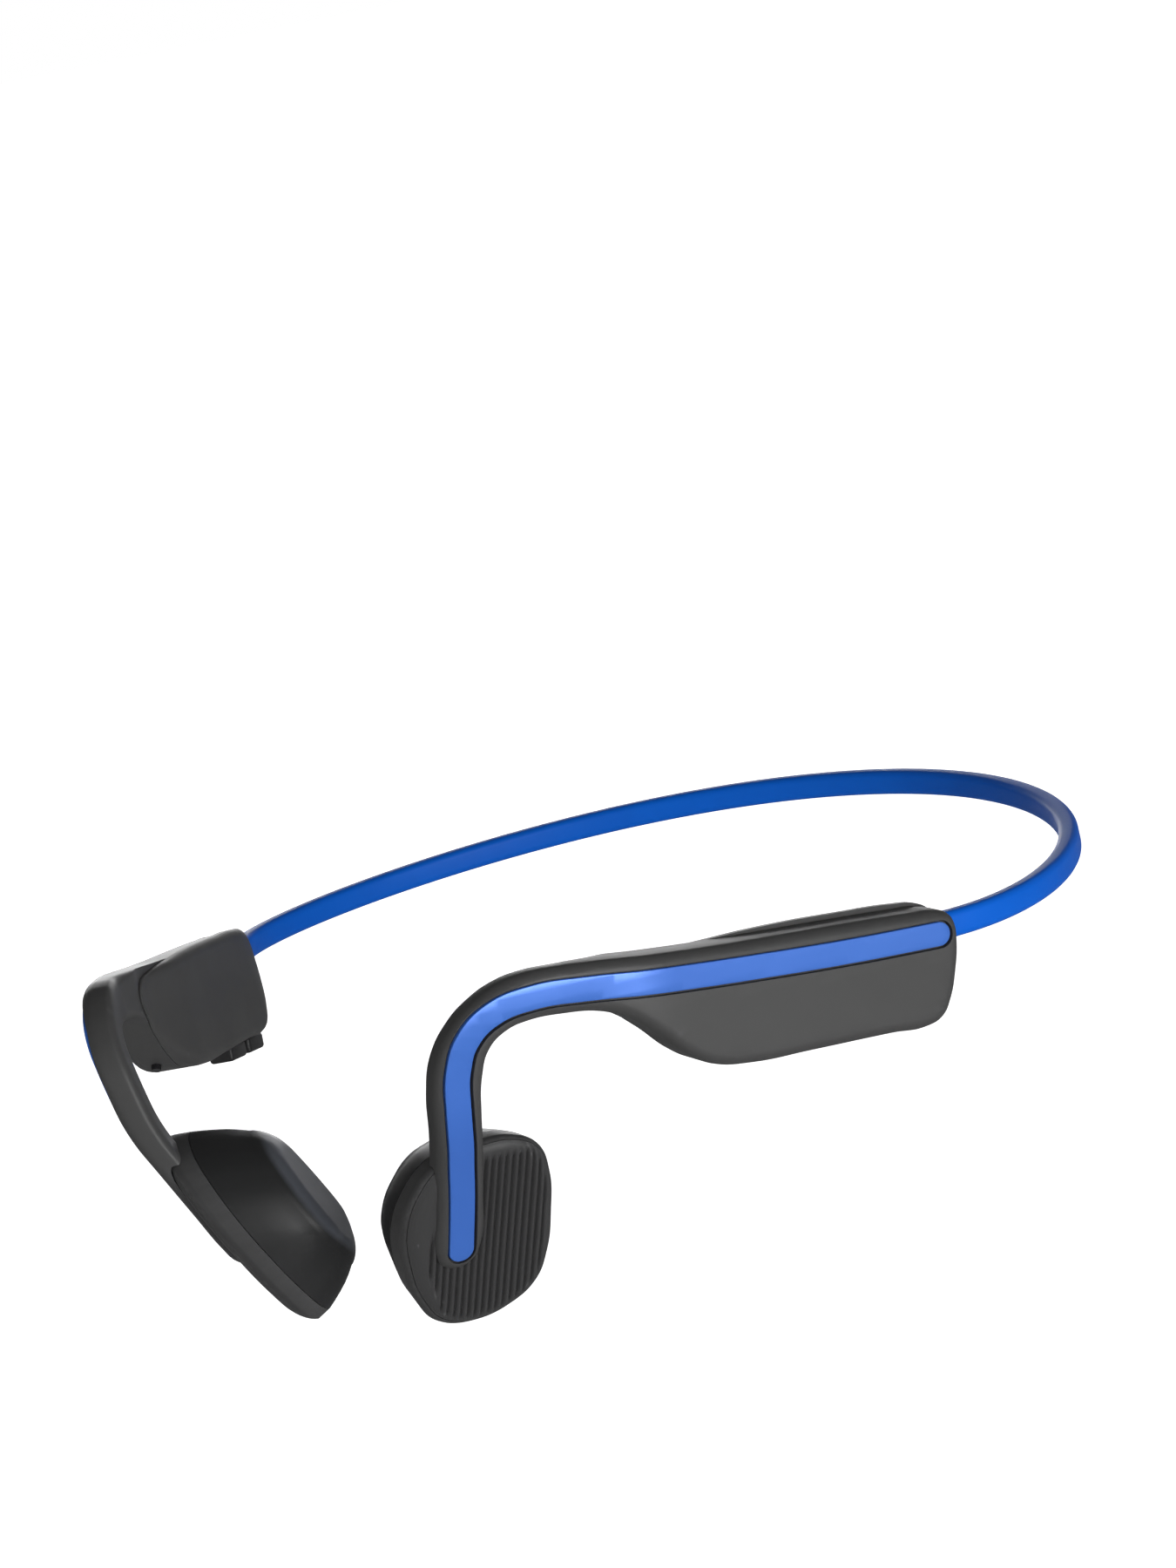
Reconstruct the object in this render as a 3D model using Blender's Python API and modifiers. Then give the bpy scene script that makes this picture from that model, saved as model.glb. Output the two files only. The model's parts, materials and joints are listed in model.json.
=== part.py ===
"""Bone conduction headphones: two over-ear arms on a spring neckband, each with a vibration pod.

Units are metres and +Z is up. +X is the wearer's left, -Y is forward, and the origin lies halfway
between the two contact faces. Each arm is designed flat in its own frame: x runs forward from the
point where the neckband enters the housing, y runs outward from the head, and z runs up. The flat
arm is then bent inward towards the cheekbone by bend(). The right arm is the left arm mirrored.
"""

import math

import bmesh
import bpy
from mathutils import Matrix, Vector

MM = 0.001
GAP = 0.3 * MM
FLAT_ANGLE = math.radians(0.3)

# Neckband and how each arm hangs on it
EXIT_X = 58.3 * MM          # half the distance between the two places where the band enters
EXIT_Y = 48.27 * MM
EXIT_Z = 14.41 * MM
BAND_DEPTH = 63.7 * MM      # from the two entries back to the band's rear
BAND_THICK = 2.6 * MM
BAND_HEIGHT = 3.3 * MM
BAND_ROUND = 0.85 * MM
BAND_WALL = 0.7 * MM
BAND_REACH_EXIT = 24.9 * MM
BAND_REACH_REAR = 42.9 * MM
HOUSING_REAR = 2.2 * MM     # from the nominal entry forward to the housing's rear face
BAND_INSET = 2.0 * MM       # length of sleeve held inside the housing
TOE_IN = math.radians(25.5)
PITCH = math.radians(4.1)   # the arm rises towards the front by this angle
KNUCKLE_RADIUS = BAND_THICK / 2
WIRE_DIAMETER = 0.7 * MM
CABLE_DIAMETER = 0.55 * MM
WIRE_OFFSET = 0.45 * MM
WIRE_END = 5.6 * MM

# Inward bend of the flat arm
FRONT_BEND_START = 44 * MM
FRONT_SLOPE = 0.215
DROP_BEND_START = 4 * MM    # height above the band entry where the hook starts to lean in
DROP_SLOPE = 0.23
KNEE_START = -9 * MM        # height where the hook turns further in, along the pod
KNEE_SLOPE = 0.31
POD_SLOPE = DROP_SLOPE + KNEE_SLOPE
SOFT = 3 * MM               # half length of each bend's soft start
HOOK_BLEND = (44 * MM, 53 * MM)
TAPER_START = 33 * MM
TAPER_END = 50 * MM
TAPER_LEFT = 0.3
TOP_TAPER = 0.35
REAR_TAPER = 0.2
THIN_FROM = 3.5 * MM        # the hook's back, below this height, is pressed towards its face
THIN_SHARE = 0.34

# Arm and housing
OUTER = 5.2 * MM            # outer face of the arm
INNER = -3.3 * MM           # inner face of the housing
SPLIT = -0.5 * MM           # plane where the two housing shells meet
EDGE = 1.5 * MM
WALL = 1.3 * MM
CAVITY_OUTER = 3.0 * MM
CAVITY_INNER = -2.4 * MM
TILT = math.radians(-6)     # the housing's long axis rises towards the front

# Blue inlay
STRIP_WIDTH = 2.9 * MM
STRIP_DEPTH = 0.8 * MM
STRIP_SUNK = 0.15 * MM

# Pod
RIM = 3.8 * MM              # outer edge of the pod cup
POD_SPLIT = -0.6 * MM
CONTACT = -10.2 * MM
POD_ROUND = 3.0 * MM
CHIN = 0.05                 # share of the pod's depth that is lost at its lower end
CHIN_START = -22 * MM
CHIN_LENGTH = 10 * MM
LOW_SLANT = 0.55
SLANT_START = 1.2 * MM
FRONT_SLANT = 0.12
PLATE_FACE = 3.5 * MM
PLATE_THICK = 1.1 * MM
PLATE_INSET = 1.2 * MM
RIB_PITCH = 0.83 * MM
RIB_COUNT = 15
RIB_DEPTH = 0.3 * MM
TONGUE_BACK = 3.85 * MM
POD_CENTRE = (63.1 * MM, -23.2 * MM)
DRIVER_CENTRE = (63.6 * MM, -22.8 * MM)
DRIVER_RADIUS = 5.2 * MM

# Charging port, light and keys of the right housing, in millimetres in the flat arm's frame
PORT_CENTRE = (29.6, 1.2, -8.35)
PORT_COVER_SIZE = (10.6, 4.2, 1.0)
PORT_AXIS_FORWARD = 4.8
KEY_SIZE = (6.0, 3.4, 2.1)
KEY_CENTRES = {"volume_up_key": (9.6, -0.2, -11.3), "volume_down_key": (17.2, -0.2, -10.55)}
LIGHT_CENTRE = (38.6, 2.0, -6.4)
LIGHT_LEAN = math.radians(35)

# Outlines in the flat arm's own frame, in millimetres, as (forward, up)
ARM_OUTLINE = [
    (2.6, -1.2), (2.55, 0.9), (3.2, 2.3), (4.9, 3.1), (8.3, 3.55), (15, 4.25), (24, 5.1), (33, 5.95),
    (42, 7.0), (48, 7.75), (53, 8.2), (57, 8.3), (60.2, 7.8), (63.4, 6.4), (66.2, 4.2), (68.4, 0.8),
    (69.3, -4), (69.25, -9), (68.95, -14), (68.7, -20), (68.5, -24.8), (67.8, -26.6), (66, -27.5),
    (64.1, -26.7), (63.2, -24.6), (63.3, -18), (63.7, -12), (63.9, -7), (63.5, -2.6), (62.5, 0.3),
    (60.6, 1.9), (57.8, 2.6), (53.5, 2.5), (49.5, 1.85), (46.6, 0.5), (43.4, -2.2), (40.2, -5.4),
    (37, -7.5), (32, -8.65), (24, -9.25), (13, -10), (8.4, -10.4), (6.1, -9.7), (4.7, -7.9), (3.4, -4.6),
]
COVER_OUTLINE = [
    (2.6, -1.2), (2.55, 0.9), (3.2, 2.3), (4.6, 3.3), (8.3, 4.1), (15, 4.8), (24, 5.6), (33, 5.95),
    (42, 6.0), (46.0, 5.5), (47.8, 4.1), (47.6, 2.3), (45.6, -0.1), (43.4, -2.2), (40.2, -5.4),
    (37, -7.5), (32, -8.65), (24, -9.25), (13, -10), (8.4, -10.4), (6.1, -9.7), (4.7, -7.9), (3.4, -4.6),
]
CAVITY_OUTLINE = [
    (4.2, 0.3), (7.4, 1.9), (20, 3.3), (35, 4.4), (42.0, 3.8), (42.0, -1), (38.2, -5.2), (33, -7.2),
    (20, -8.3), (9.0, -9.1), (6.8, -8.4), (5.2, -6.0),
]
STRIP_PATH = [
    (5.3, 0.35), (16, 1.15), (30, 2.55), (44, 4.2), (51, 5.05), (57.2, 5.45), (62.1, 4.55), (65.2, 2.2),
    (66.6, -1.2), (66.95, -6), (66.65, -12), (66.2, -18), (65.9, -24.9),
]
POD_OUTLINE = [
    (66.3, -12.0), (62.8, -11.2), (59.4, -11.5), (56.3, -13.4), (54.6, -17.4), (54, -23),
    (54.1, -28.4), (55.3, -32.4), (58.2, -34.9), (62.4, -36.1), (66.6, -35.2), (69.5, -31.7),
    (71.6, -26), (72.2, -20.5), (70.8, -15.9), (68.8, -13.3),
]

BLUE_STRIP = ((0.08, 0.20, 0.62, 1), 0.30, 0.25)
BLUE_SILICONE = ((0.02, 0.09, 0.50, 1), 0.45, 0.0)
SOFT_BLACK = ((0.045, 0.046, 0.050, 1), 0.55, 0.0)
DARK_BLACK = ((0.025, 0.025, 0.027, 1), 0.50, 0.0)
STEEL = ((0.60, 0.60, 0.62, 1), 0.30, 1.0)
TITANIUM = ((0.42, 0.42, 0.44, 1), 0.35, 1.0)
COPPER = ((0.72, 0.36, 0.18, 1), 0.35, 1.0)
BOARD_GREEN = ((0.03, 0.18, 0.08, 1), 0.50, 0.0)
FOIL = ((0.66, 0.67, 0.70, 1), 0.35, 0.6)
CLEAR = ((0.75, 0.78, 0.80, 1), 0.15, 0.0)
RUBBER = ((0.02, 0.02, 0.02, 1), 0.80, 0.0)


def clear_scene():
    for obj in list(bpy.data.objects):
        bpy.data.objects.remove(obj, do_unlink=True)


def new_collection(name):
    collection = bpy.data.collections.new(name)
    bpy.context.scene.collection.children.link(collection)
    return collection


def soft(distance):
    """A ramp that starts smoothly over SOFT on both sides of zero."""
    if distance <= -SOFT:
        return 0.0
    if distance >= SOFT:
        return distance
    return (distance + SOFT) ** 2 / (4 * SOFT)


def smooth_step(value, low, high):
    t = min(max((value - low) / (high - low), 0.0), 1.0)
    return t * t * (3 - 2 * t)


def bend(x, z):
    """How far the flat arm moves inward (negative) at this place."""
    hook = smooth_step(x, *HOOK_BLEND)
    drop = DROP_SLOPE * soft(DROP_BEND_START - z) + KNEE_SLOPE * soft(KNEE_START - z)
    return -FRONT_SLOPE * soft(x - FRONT_BEND_START) - drop * hook


def material(name, look):
    colour, roughness, metallic = look
    made = bpy.data.materials.new(name + "_material")
    made.use_nodes = True
    shader = made.node_tree.nodes["Principled BSDF"]
    shader.inputs["Base Color"].default_value = colour
    shader.inputs["Roughness"].default_value = roughness
    shader.inputs["Metallic"].default_value = metallic
    return made


def wrap(name, mesh, collection, parent=None, look=None):
    """An object for a mesh, on its parent's frame, with its own material."""
    obj = bpy.data.objects.new(name, mesh)
    collection.objects.link(obj)
    obj.parent = parent
    if look:
        mesh.materials.clear()
        mesh.materials.append(material(name, look))
    return obj


def evaluated_mesh(obj):
    bpy.context.view_layer.update()
    depsgraph = bpy.context.evaluated_depsgraph_get()
    return bpy.data.meshes.new_from_object(obj.evaluated_get(depsgraph))


def drop(obj):
    bpy.data.objects.remove(obj, do_unlink=True)


def outward(mesh):
    """Welds the mesh, merges its flat faces and turns them out."""
    work = bmesh.new()
    work.from_mesh(mesh)
    bmesh.ops.remove_doubles(work, verts=work.verts, dist=0.002 * MM)
    bmesh.ops.dissolve_limit(work, angle_limit=FLAT_ANGLE, verts=work.verts, edges=work.edges)
    bmesh.ops.recalc_face_normals(work, faces=work.faces)
    work.to_mesh(mesh)
    work.free()
    return mesh


def outline_solid(points, back, face, edge=0.0, inset=0.0, resolution=3, edge_steps=1):
    """A plate between y = back and y = face, with a smooth outline in the flat arm's plane."""
    curve = bpy.data.curves.new("outline", "CURVE")
    curve.dimensions = "2D"
    curve.fill_mode = "BOTH"
    curve.resolution_u = resolution
    curve.render_resolution_u = 0
    curve.extrude = (face - back) / 2 - edge
    curve.bevel_depth = edge
    curve.bevel_resolution = edge_steps
    curve.offset = -edge - inset
    spline = curve.splines.new("BEZIER")
    spline.bezier_points.add(len(points) - 1)
    spline.use_cyclic_u = True
    for knot, (x, z) in zip(spline.bezier_points, points):
        knot.co = (x * MM, z * MM, 0)
        knot.handle_left_type = "AUTO"
        knot.handle_right_type = "AUTO"
    obj = bpy.data.objects.new("outline", curve)
    bpy.context.scene.collection.objects.link(obj)
    mesh = outward(evaluated_mesh(obj))
    drop(obj)
    mesh.transform(Matrix.Translation((0, (back + face) / 2, 0)) @ Matrix.Rotation(math.pi / 2, 4, "X"))
    return mesh


def ribbon_solid(path, width, back, face):
    """A plate that follows a path with round ends, for the inlay and its groove."""
    curve = bpy.data.curves.new("path", "CURVE")
    curve.dimensions = "2D"
    curve.resolution_u = 3
    curve.render_resolution_u = 0
    spline = curve.splines.new("BEZIER")
    spline.bezier_points.add(len(path) - 1)
    for knot, (x, z) in zip(spline.bezier_points, path):
        knot.co = (x * MM, z * MM, 0)
        knot.handle_left_type = "AUTO"
        knot.handle_right_type = "AUTO"
    obj = bpy.data.objects.new("path", curve)
    bpy.context.scene.collection.objects.link(obj)
    centre = [vertex.co.copy() for vertex in evaluated_mesh(obj).vertices]
    drop(obj)
    left, right = [], []
    for index, point in enumerate(centre):
        ahead = centre[min(index + 1, len(centre) - 1)] - centre[max(index - 1, 0)]
        side = Vector((-ahead.y, ahead.x, 0)).normalized() * width / 2
        left.append(point + side)
        right.append(point - side)
    end = round_end(centre[-1], left[-1] - centre[-1], -1)
    start = round_end(centre[0], right[0] - centre[0], -1)
    ring = left + end + right[::-1] + start
    work = bmesh.new()
    face_verts = [work.verts.new((point.x, back, point.y)) for point in ring]
    base = work.faces.new(face_verts)
    grown = bmesh.ops.extrude_face_region(work, geom=[base])
    moved = [item for item in grown["geom"] if isinstance(item, bmesh.types.BMVert)]
    bmesh.ops.translate(work, verts=moved, vec=(0, face - back, 0))
    bmesh.ops.recalc_face_normals(work, faces=work.faces)
    mesh = bpy.data.meshes.new("ribbon")
    work.to_mesh(mesh)
    work.free()
    return mesh


def round_end(centre, radius_vector, turn, steps=7):
    """Points of a half circle that starts at centre + radius_vector, without its two ends."""
    return [centre + Matrix.Rotation(turn * math.pi * k / steps, 3, "Z") @ radius_vector
            for k in range(1, steps)]


def box_mesh(size, centre):
    work = bmesh.new()
    bmesh.ops.create_cube(work, size=1)
    bmesh.ops.scale(work, vec=size, verts=work.verts)
    bmesh.ops.translate(work, vec=centre, verts=work.verts)
    mesh = bpy.data.meshes.new("box")
    work.to_mesh(mesh)
    work.free()
    return mesh


def disc_mesh(radius, back, face, sides=24):
    """A round plate on the arm's y axis, between y = back and y = face."""
    work = bmesh.new()
    bmesh.ops.create_cone(work, cap_ends=True, segments=sides, radius1=radius, radius2=radius,
                          depth=face - back)
    bmesh.ops.rotate(work, cent=(0, 0, 0), matrix=Matrix.Rotation(math.pi / 2, 3, "X"), verts=work.verts)
    bmesh.ops.translate(work, vec=(0, (back + face) / 2, 0), verts=work.verts)
    mesh = bpy.data.meshes.new("disc")
    work.to_mesh(mesh)
    work.free()
    return mesh


def boolean(mesh, other, operation):
    """The mesh joined with, or cut by, another mesh."""
    obj = bpy.data.objects.new("body", mesh)
    tool = bpy.data.objects.new("tool", other)
    bpy.context.scene.collection.objects.link(obj)
    bpy.context.scene.collection.objects.link(tool)
    modifier = obj.modifiers.new("join", "BOOLEAN")
    modifier.operation = operation
    modifier.object = tool
    made = outward(evaluated_mesh(obj))
    drop(obj)
    drop(tool)
    return made


def cut(mesh, *tools):
    for tool in tools:
        mesh = boolean(mesh, tool, "DIFFERENCE")
    return mesh


def slab(low_y, high_y):
    """A block that fills everything between two y planes."""
    return box_mesh((0.3, high_y - low_y, 0.3), (0, (low_y + high_y) / 2, 0))


def slice_for_bend(mesh, more_heights=()):
    """Adds edges across the mesh where bend() is curved, so that it bends evenly."""
    work = bmesh.new()
    work.from_mesh(mesh)
    for x in (36, 39, 41, 42.5, 44, 45.5, 47, 50, 53):
        split_at(work, (x * MM, 0, 0), (1, 0, 0))
    for z in (7, 5.5, 4, 2.5, 1, -6, -7.5, -9, -10.5, -12, *more_heights):
        split_at(work, (0, 0, z * MM), (0, 0, 1))
    bmesh.ops.triangulate(work, faces=work.faces)
    work.to_mesh(mesh)
    work.free()
    return mesh


def split_at(work, place, normal):
    everything = work.verts[:] + work.edges[:] + work.faces[:]
    bmesh.ops.bisect_plane(work, geom=everything, dist=0.002 * MM, plane_co=place, plane_no=normal)


def thinned(x, y):
    """The hook is thinner than the housing."""
    keep = 1 - THIN_SHARE * smooth_step(x, 47 * MM, 55 * MM)
    return y if y > THIN_FROM else THIN_FROM - (THIN_FROM - y) * keep


def tapered(x, y, z):
    """The inner cover gets flatter towards its front, its top and its rear."""
    front = 1 - (1 - TAPER_LEFT) * smooth_step(x, TAPER_START, TAPER_END)
    top = 1 - TOP_TAPER * smooth_step(z, -7 * MM, 3 * MM)
    rear = 1 - REAR_TAPER * smooth_step(8 * MM - x, 0, 5.5 * MM)
    return SPLIT + (y - SPLIT) * front * top * rear


def pod_slanted(x, y, z):
    """The pod's lower end slants up towards its contact face and its front leans back."""
    low = LOW_SLANT * max(SLANT_START - y, 0) * smooth_step(-z, 22 * MM, 35 * MM)
    front = FRONT_SLANT * max(POD_SPLIT - y, 0) * smooth_step(x, 63 * MM, 70 * MM)
    depth = 1 - CHIN * smooth_step(CHIN_START - z, 0, CHIN_LENGTH)
    return x - front, POD_SPLIT + (y - POD_SPLIT) * depth if y < POD_SPLIT else y, z + low


def bent(mesh, shape=None):
    """Moves the flat mesh onto the bent arm, with the shape's own thinning or taper."""
    slice_for_bend(mesh, (-23, -25, -27, -29, -31, -33) if shape == "pod" else ())
    for vertex in mesh.vertices:
        x, y, z = vertex.co
        if shape == "cover":
            y = tapered(x, y, z)
        if shape in ("hook", "cover"):
            y = thinned(x, y)
        elif shape == "pod":
            x, y, z = pod_slanted(x, y, z)
        vertex.co = (x, y + bend(x, z), z)
    return mesh


def handed(mesh, side):
    """Mirrors the mesh for the right arm."""
    if side < 0:
        work = bmesh.new()
        work.from_mesh(mesh)
        bmesh.ops.scale(work, vec=(1, -1, 1), verts=work.verts)
        bmesh.ops.reverse_faces(work, faces=work.faces)
        work.to_mesh(mesh)
        work.free()
    mesh.shade_smooth()
    mesh.set_sharp_from_angle(angle=math.radians(35))
    return mesh


def arm_matrix(side):
    """The arm's frame in the world: forward, outward (inward on the right arm) and up."""
    forward = Vector((-side * math.sin(TOE_IN) * math.cos(PITCH), -math.cos(TOE_IN) * math.cos(PITCH),
                      math.sin(PITCH)))
    across = Vector((math.cos(TOE_IN), -side * math.sin(TOE_IN), 0))
    up = forward.cross(across)
    frame = Matrix((forward, across, up)).transposed().to_4x4()
    frame.translation = (side * EXIT_X, EXIT_Y, EXIT_Z)
    return frame


def empty(name, collection, matrix, parent=None):
    obj = bpy.data.objects.new(name, None)
    collection.objects.link(obj)
    obj.parent = parent
    obj.matrix_world = matrix
    bpy.context.view_layer.update()
    return obj


# Shells of one arm

def band_socket():
    """The cutter for the hole that the sleeve's end sits in."""
    size = (2 * (HOUSING_REAR + BAND_INSET + GAP), BAND_THICK + 2 * GAP, BAND_HEIGHT + 2 * GAP)
    return box_mesh(size, (0, 0, 0))


def wire_hole():
    """The cutter for the way from the sleeve's end into the housing."""
    return box_mesh((6 * MM, 1.4 * MM, 2 * MM), (6 * MM, 0, 0))


def arm_shell(cutters):
    whole = outline_solid(ARM_OUTLINE, 2 * INNER, OUTER, edge=EDGE)
    whole = cut(whole, slab(3 * INNER, SPLIT + GAP / 2))
    cavity = outline_solid(CAVITY_OUTLINE, INNER, CAVITY_OUTER)
    groove = ribbon_solid(STRIP_PATH, STRIP_WIDTH + 2 * GAP, OUTER - STRIP_DEPTH - GAP, OUTER + MM)
    pod_room = outline_solid(POD_OUTLINE, 4 * INNER, TONGUE_BACK, inset=-GAP)
    return bent(cut(whole, cavity, groove, pod_room, band_socket(), wire_hole(), *cutters), "hook")


def inlay():
    return bent(ribbon_solid(STRIP_PATH, STRIP_WIDTH, OUTER - STRIP_DEPTH, OUTER - STRIP_SUNK))


def inner_cover(cutters):
    whole = outline_solid(COVER_OUTLINE, INNER, -INNER, edge=EDGE)
    whole = cut(whole, slab(SPLIT - GAP / 2, -3 * INNER))
    cavity = outline_solid(CAVITY_OUTLINE, CAVITY_INNER, OUTER)
    return cut(bent(cut(whole, cavity), "cover"), band_socket(), wire_hole(), *cutters)


def pod_cup():
    whole = outline_solid(POD_OUTLINE, 2 * CONTACT, RIM, edge=1.0 * MM, edge_steps=1)
    whole = cut(whole, slab(3 * CONTACT, POD_SPLIT))
    recess = outline_solid(POD_OUTLINE, PLATE_FACE - PLATE_THICK - 0.8 * MM, 2 * RIM,
                           inset=PLATE_INSET - GAP)
    centre = (POD_CENTRE[0], 0, POD_CENTRE[1])
    opening = box_mesh((7 * MM, 20 * MM, 9 * MM), centre)
    return bent(cut(whole, recess, opening), "pod")


def ribbed_plate():
    face = outline_solid(POD_OUTLINE, PLATE_FACE - PLATE_THICK, PLATE_FACE, inset=PLATE_INSET)
    for index in range(RIB_COUNT):
        x = POD_CENTRE[0] + (index - (RIB_COUNT - 1) / 2) * RIB_PITCH
        tall = 20.5 * MM - abs(x - POD_CENTRE[0]) * 0.8
        groove = box_mesh((RIB_PITCH * 0.45, 2 * RIB_DEPTH, tall), (x, PLATE_FACE, POD_CENTRE[1]))
        face = boolean(face, groove, "DIFFERENCE")
    return bent(face)


def pod_cap():
    whole = outline_solid(POD_OUTLINE, CONTACT, -2 * CONTACT, edge=POD_ROUND, edge_steps=2)
    whole = cut(whole, slab(POD_SPLIT - GAP, -3 * CONTACT))
    room = outline_solid(POD_OUTLINE, CONTACT + 1.6 * WALL, RIM, inset=WALL + 0.4 * MM)
    return bent(cut(whole, room), "pod")


# Drive unit of one pod, stacked along the pod's axis

def pod_stack_matrix(side):
    """The pod's own frame: y runs outward, square to the contact face."""
    x, z = DRIVER_CENTRE
    normal = Vector((FRONT_SLOPE, 1, -POD_SLOPE)).normalized()
    forward = Vector((1, -FRONT_SLOPE, 0)).normalized()
    up = forward.cross(normal)
    forward = normal.cross(up)
    slope = Matrix((forward, normal, up)).transposed().to_4x4()
    slope.translation = (x, bend(x, z), z)
    if side < 0:
        flip = Matrix.Scale(-1, 4, (0, 1, 0))
        slope = flip @ slope @ flip
    return slope


def ring_mesh(outer, inner, back, face):
    return cut(disc_mesh(outer, back, face), disc_mesh(inner, back - MM, face + MM))


def drive_unit(label, side, collection, arm):
    """Bracket, spring plate, coil, magnet and yoke of the bone conduction driver."""
    base = (CONTACT + 1.6 * WALL + 1.4 * MM) / math.sqrt(1 + FRONT_SLOPE ** 2 + POD_SLOPE ** 2)
    stack = [
        ("bracket", ring_mesh(DRIVER_RADIUS, 4.0 * MM, base, base + 0.6 * MM), DARK_BLACK),
        ("spring_plate", disc_mesh(DRIVER_RADIUS, base + 0.9 * MM, base + 1.2 * MM), STEEL),
        ("voice_coil", ring_mesh(4.2 * MM, 3.2 * MM, base + 1.5 * MM, base + 3.0 * MM), COPPER),
        ("magnet", disc_mesh(2.8 * MM, base + 1.6 * MM, base + 3.8 * MM), STEEL),
        ("yoke", cut(disc_mesh(DRIVER_RADIUS, base + 1.8 * MM, base + 4.9 * MM),
                     disc_mesh(4.5 * MM, base + MM, base + 4.1 * MM)), STEEL),
    ]
    for name, mesh, look in stack:
        obj = wrap(label + "_" + name, handed(mesh, side), collection, arm, look)
        obj.matrix_local = pod_stack_matrix(side)


# Parts inside the housings

def housing_box(name, size, centre, side, collection, arm, look, bevel=0.0):
    """A block in the housing's own tilted frame; size and centre are in millimetres."""
    mesh = handed(box_mesh([value * MM for value in size], (0, 0, 0)), side)
    obj = wrap(name, mesh, collection, arm, look)
    obj.location = (centre[0] * MM, side * centre[1] * MM, centre[2] * MM)
    obj.rotation_euler = (0, TILT, 0)
    if bevel:
        rounding = obj.modifiers.new("rounding", "BEVEL")
        rounding.width = bevel * MM
        rounding.segments = 2
    return obj


def left_contents(collection, arm):
    housing_box("battery", (24, 3.8, 8.4), (21.7, 0.95, -2.8), 1, collection, arm, FOIL, bevel=0.8)
    housing_box("protection_board", (1.0, 3.4, 6.6), (35.2, 0.7, -1.6), 1, collection, arm, BOARD_GREEN)
    housing_box("left_wire_anchor", (2.2, 3.0, 5.0), (7.4, 0.2, -1.8), 1, collection, arm, STEEL)


def right_contents(collection, arm):
    housing_box("main_board", (24, 0.8, 6.4), (21.7, -1.0, -2.2), -1, collection, arm, BOARD_GREEN)
    housing_box("radio_shield", (8, 1.6, 5.4), (19.5, 0.5, -2.2), -1, collection, arm, STEEL)
    housing_box("antenna", (4.2, 1.0, 4.0), (12.6, 0.2, -1.9), -1, collection, arm, CLEAR)
    housing_box("right_wire_anchor", (2.2, 3.0, 5.0), (7.4, 0.2, -1.8), -1, collection, arm, STEEL)
    for key, (x, y, z) in KEY_CENTRES.items():
        housing_box(key.replace("key", "switch"), (3.0, 3.0, 1.5), (x - 0.25, y, z + 2.75), -1,
                    collection, arm, RUBBER)
        housing_box(key, KEY_SIZE, (x, y, z), -1, collection, arm, DARK_BLACK, bevel=0.4)
    housing_box("microphone", (3.0, 1.0, 2.4), (29, 0.4, 2.0), -1, collection, arm, STEEL)


def tilted_box(size, centre, grow=0.0, shift=(0, 0, 0)):
    """A block in the housing's tilted frame, as a mesh in the flat arm's frame."""
    mesh = box_mesh([(value + 2 * grow) * MM for value in size], [value * MM for value in shift])
    mesh.transform(Matrix.Rotation(TILT, 4, "Y"))
    mesh.transform(Matrix.Translation([value * MM for value in centre]))
    return mesh


def light_hole():
    mesh = disc_mesh(1.1 * MM, -3 * MM, 3 * MM, sides=12)
    mesh.transform(Matrix.Rotation(math.pi / 2, 4, "X"))
    mesh.transform(Matrix.Rotation(-LIGHT_LEAN, 4, "Y"))
    mesh.transform(Matrix.Translation([value * MM for value in LIGHT_CENTRE]))
    return mesh


def light_pipe(collection, arm):
    mesh = disc_mesh(0.65 * MM, -0.9 * MM, 0.9 * MM, sides=12)
    mesh.transform(Matrix.Rotation(math.pi / 2, 4, "X"))
    mesh.transform(Matrix.Rotation(-LIGHT_LEAN, 4, "Y"))
    mesh.transform(Matrix.Translation([value * MM for value in LIGHT_CENTRE]))
    wrap("light_pipe", handed(mesh, -1), collection, arm, CLEAR)


def port_cutters():
    """The recess for the cover and the way through to the receptacle."""
    recess = tilted_box((PORT_COVER_SIZE[0], PORT_COVER_SIZE[1], 2.0), PORT_CENTRE, grow=0.4,
                        shift=(0, 0, -0.5))
    passage = tilted_box((8.9, 3.2, 5.0), PORT_CENTRE, grow=0.35, shift=(0, 0, 2.0))
    return [recess, passage]


def key_cutters():
    return [tilted_box((KEY_SIZE[0], KEY_SIZE[1], 7.0), centre, grow=0.35)
            for centre in KEY_CENTRES.values()]


def charging_port(collection, arm):
    shell = box_mesh((8.9 * MM, 3.2 * MM, 5.6 * MM), (0, 0, 0))
    shell = cut(shell, box_mesh((8.3 * MM, 2.6 * MM, 5.6 * MM), (0, 0, -0.8 * MM)))
    tongue = box_mesh((6.7 * MM, 0.8 * MM, 4.4 * MM), (0, 0, 0.4 * MM))
    shell = boolean(shell, tongue, "UNION")
    x, y, z = PORT_CENTRE
    port = wrap("charging_port", handed(shell, -1), collection, arm, STEEL)
    port.location = ((x - 0.39) * MM, -y * MM, (z + 3.75) * MM)
    port.rotation_euler = (0, TILT, 0)

    cover = wrap("port_cover", box_mesh([value * MM for value in PORT_COVER_SIZE],
                                        (-PORT_AXIS_FORWARD * MM, 0, 0)), collection, arm, RUBBER)
    axis = Matrix.Rotation(TILT, 3, "Y") @ Vector((PORT_AXIS_FORWARD, 0, 0))
    cover.location = ((x + axis.x) * MM, -y * MM, (z + axis.z) * MM)
    cover.rotation_euler = (0, TILT, 0)
    rounding = cover.modifiers.new("rounding", "BEVEL")
    rounding.width = 0.2 * MM
    rounding.segments = 1


# Neckband

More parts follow.
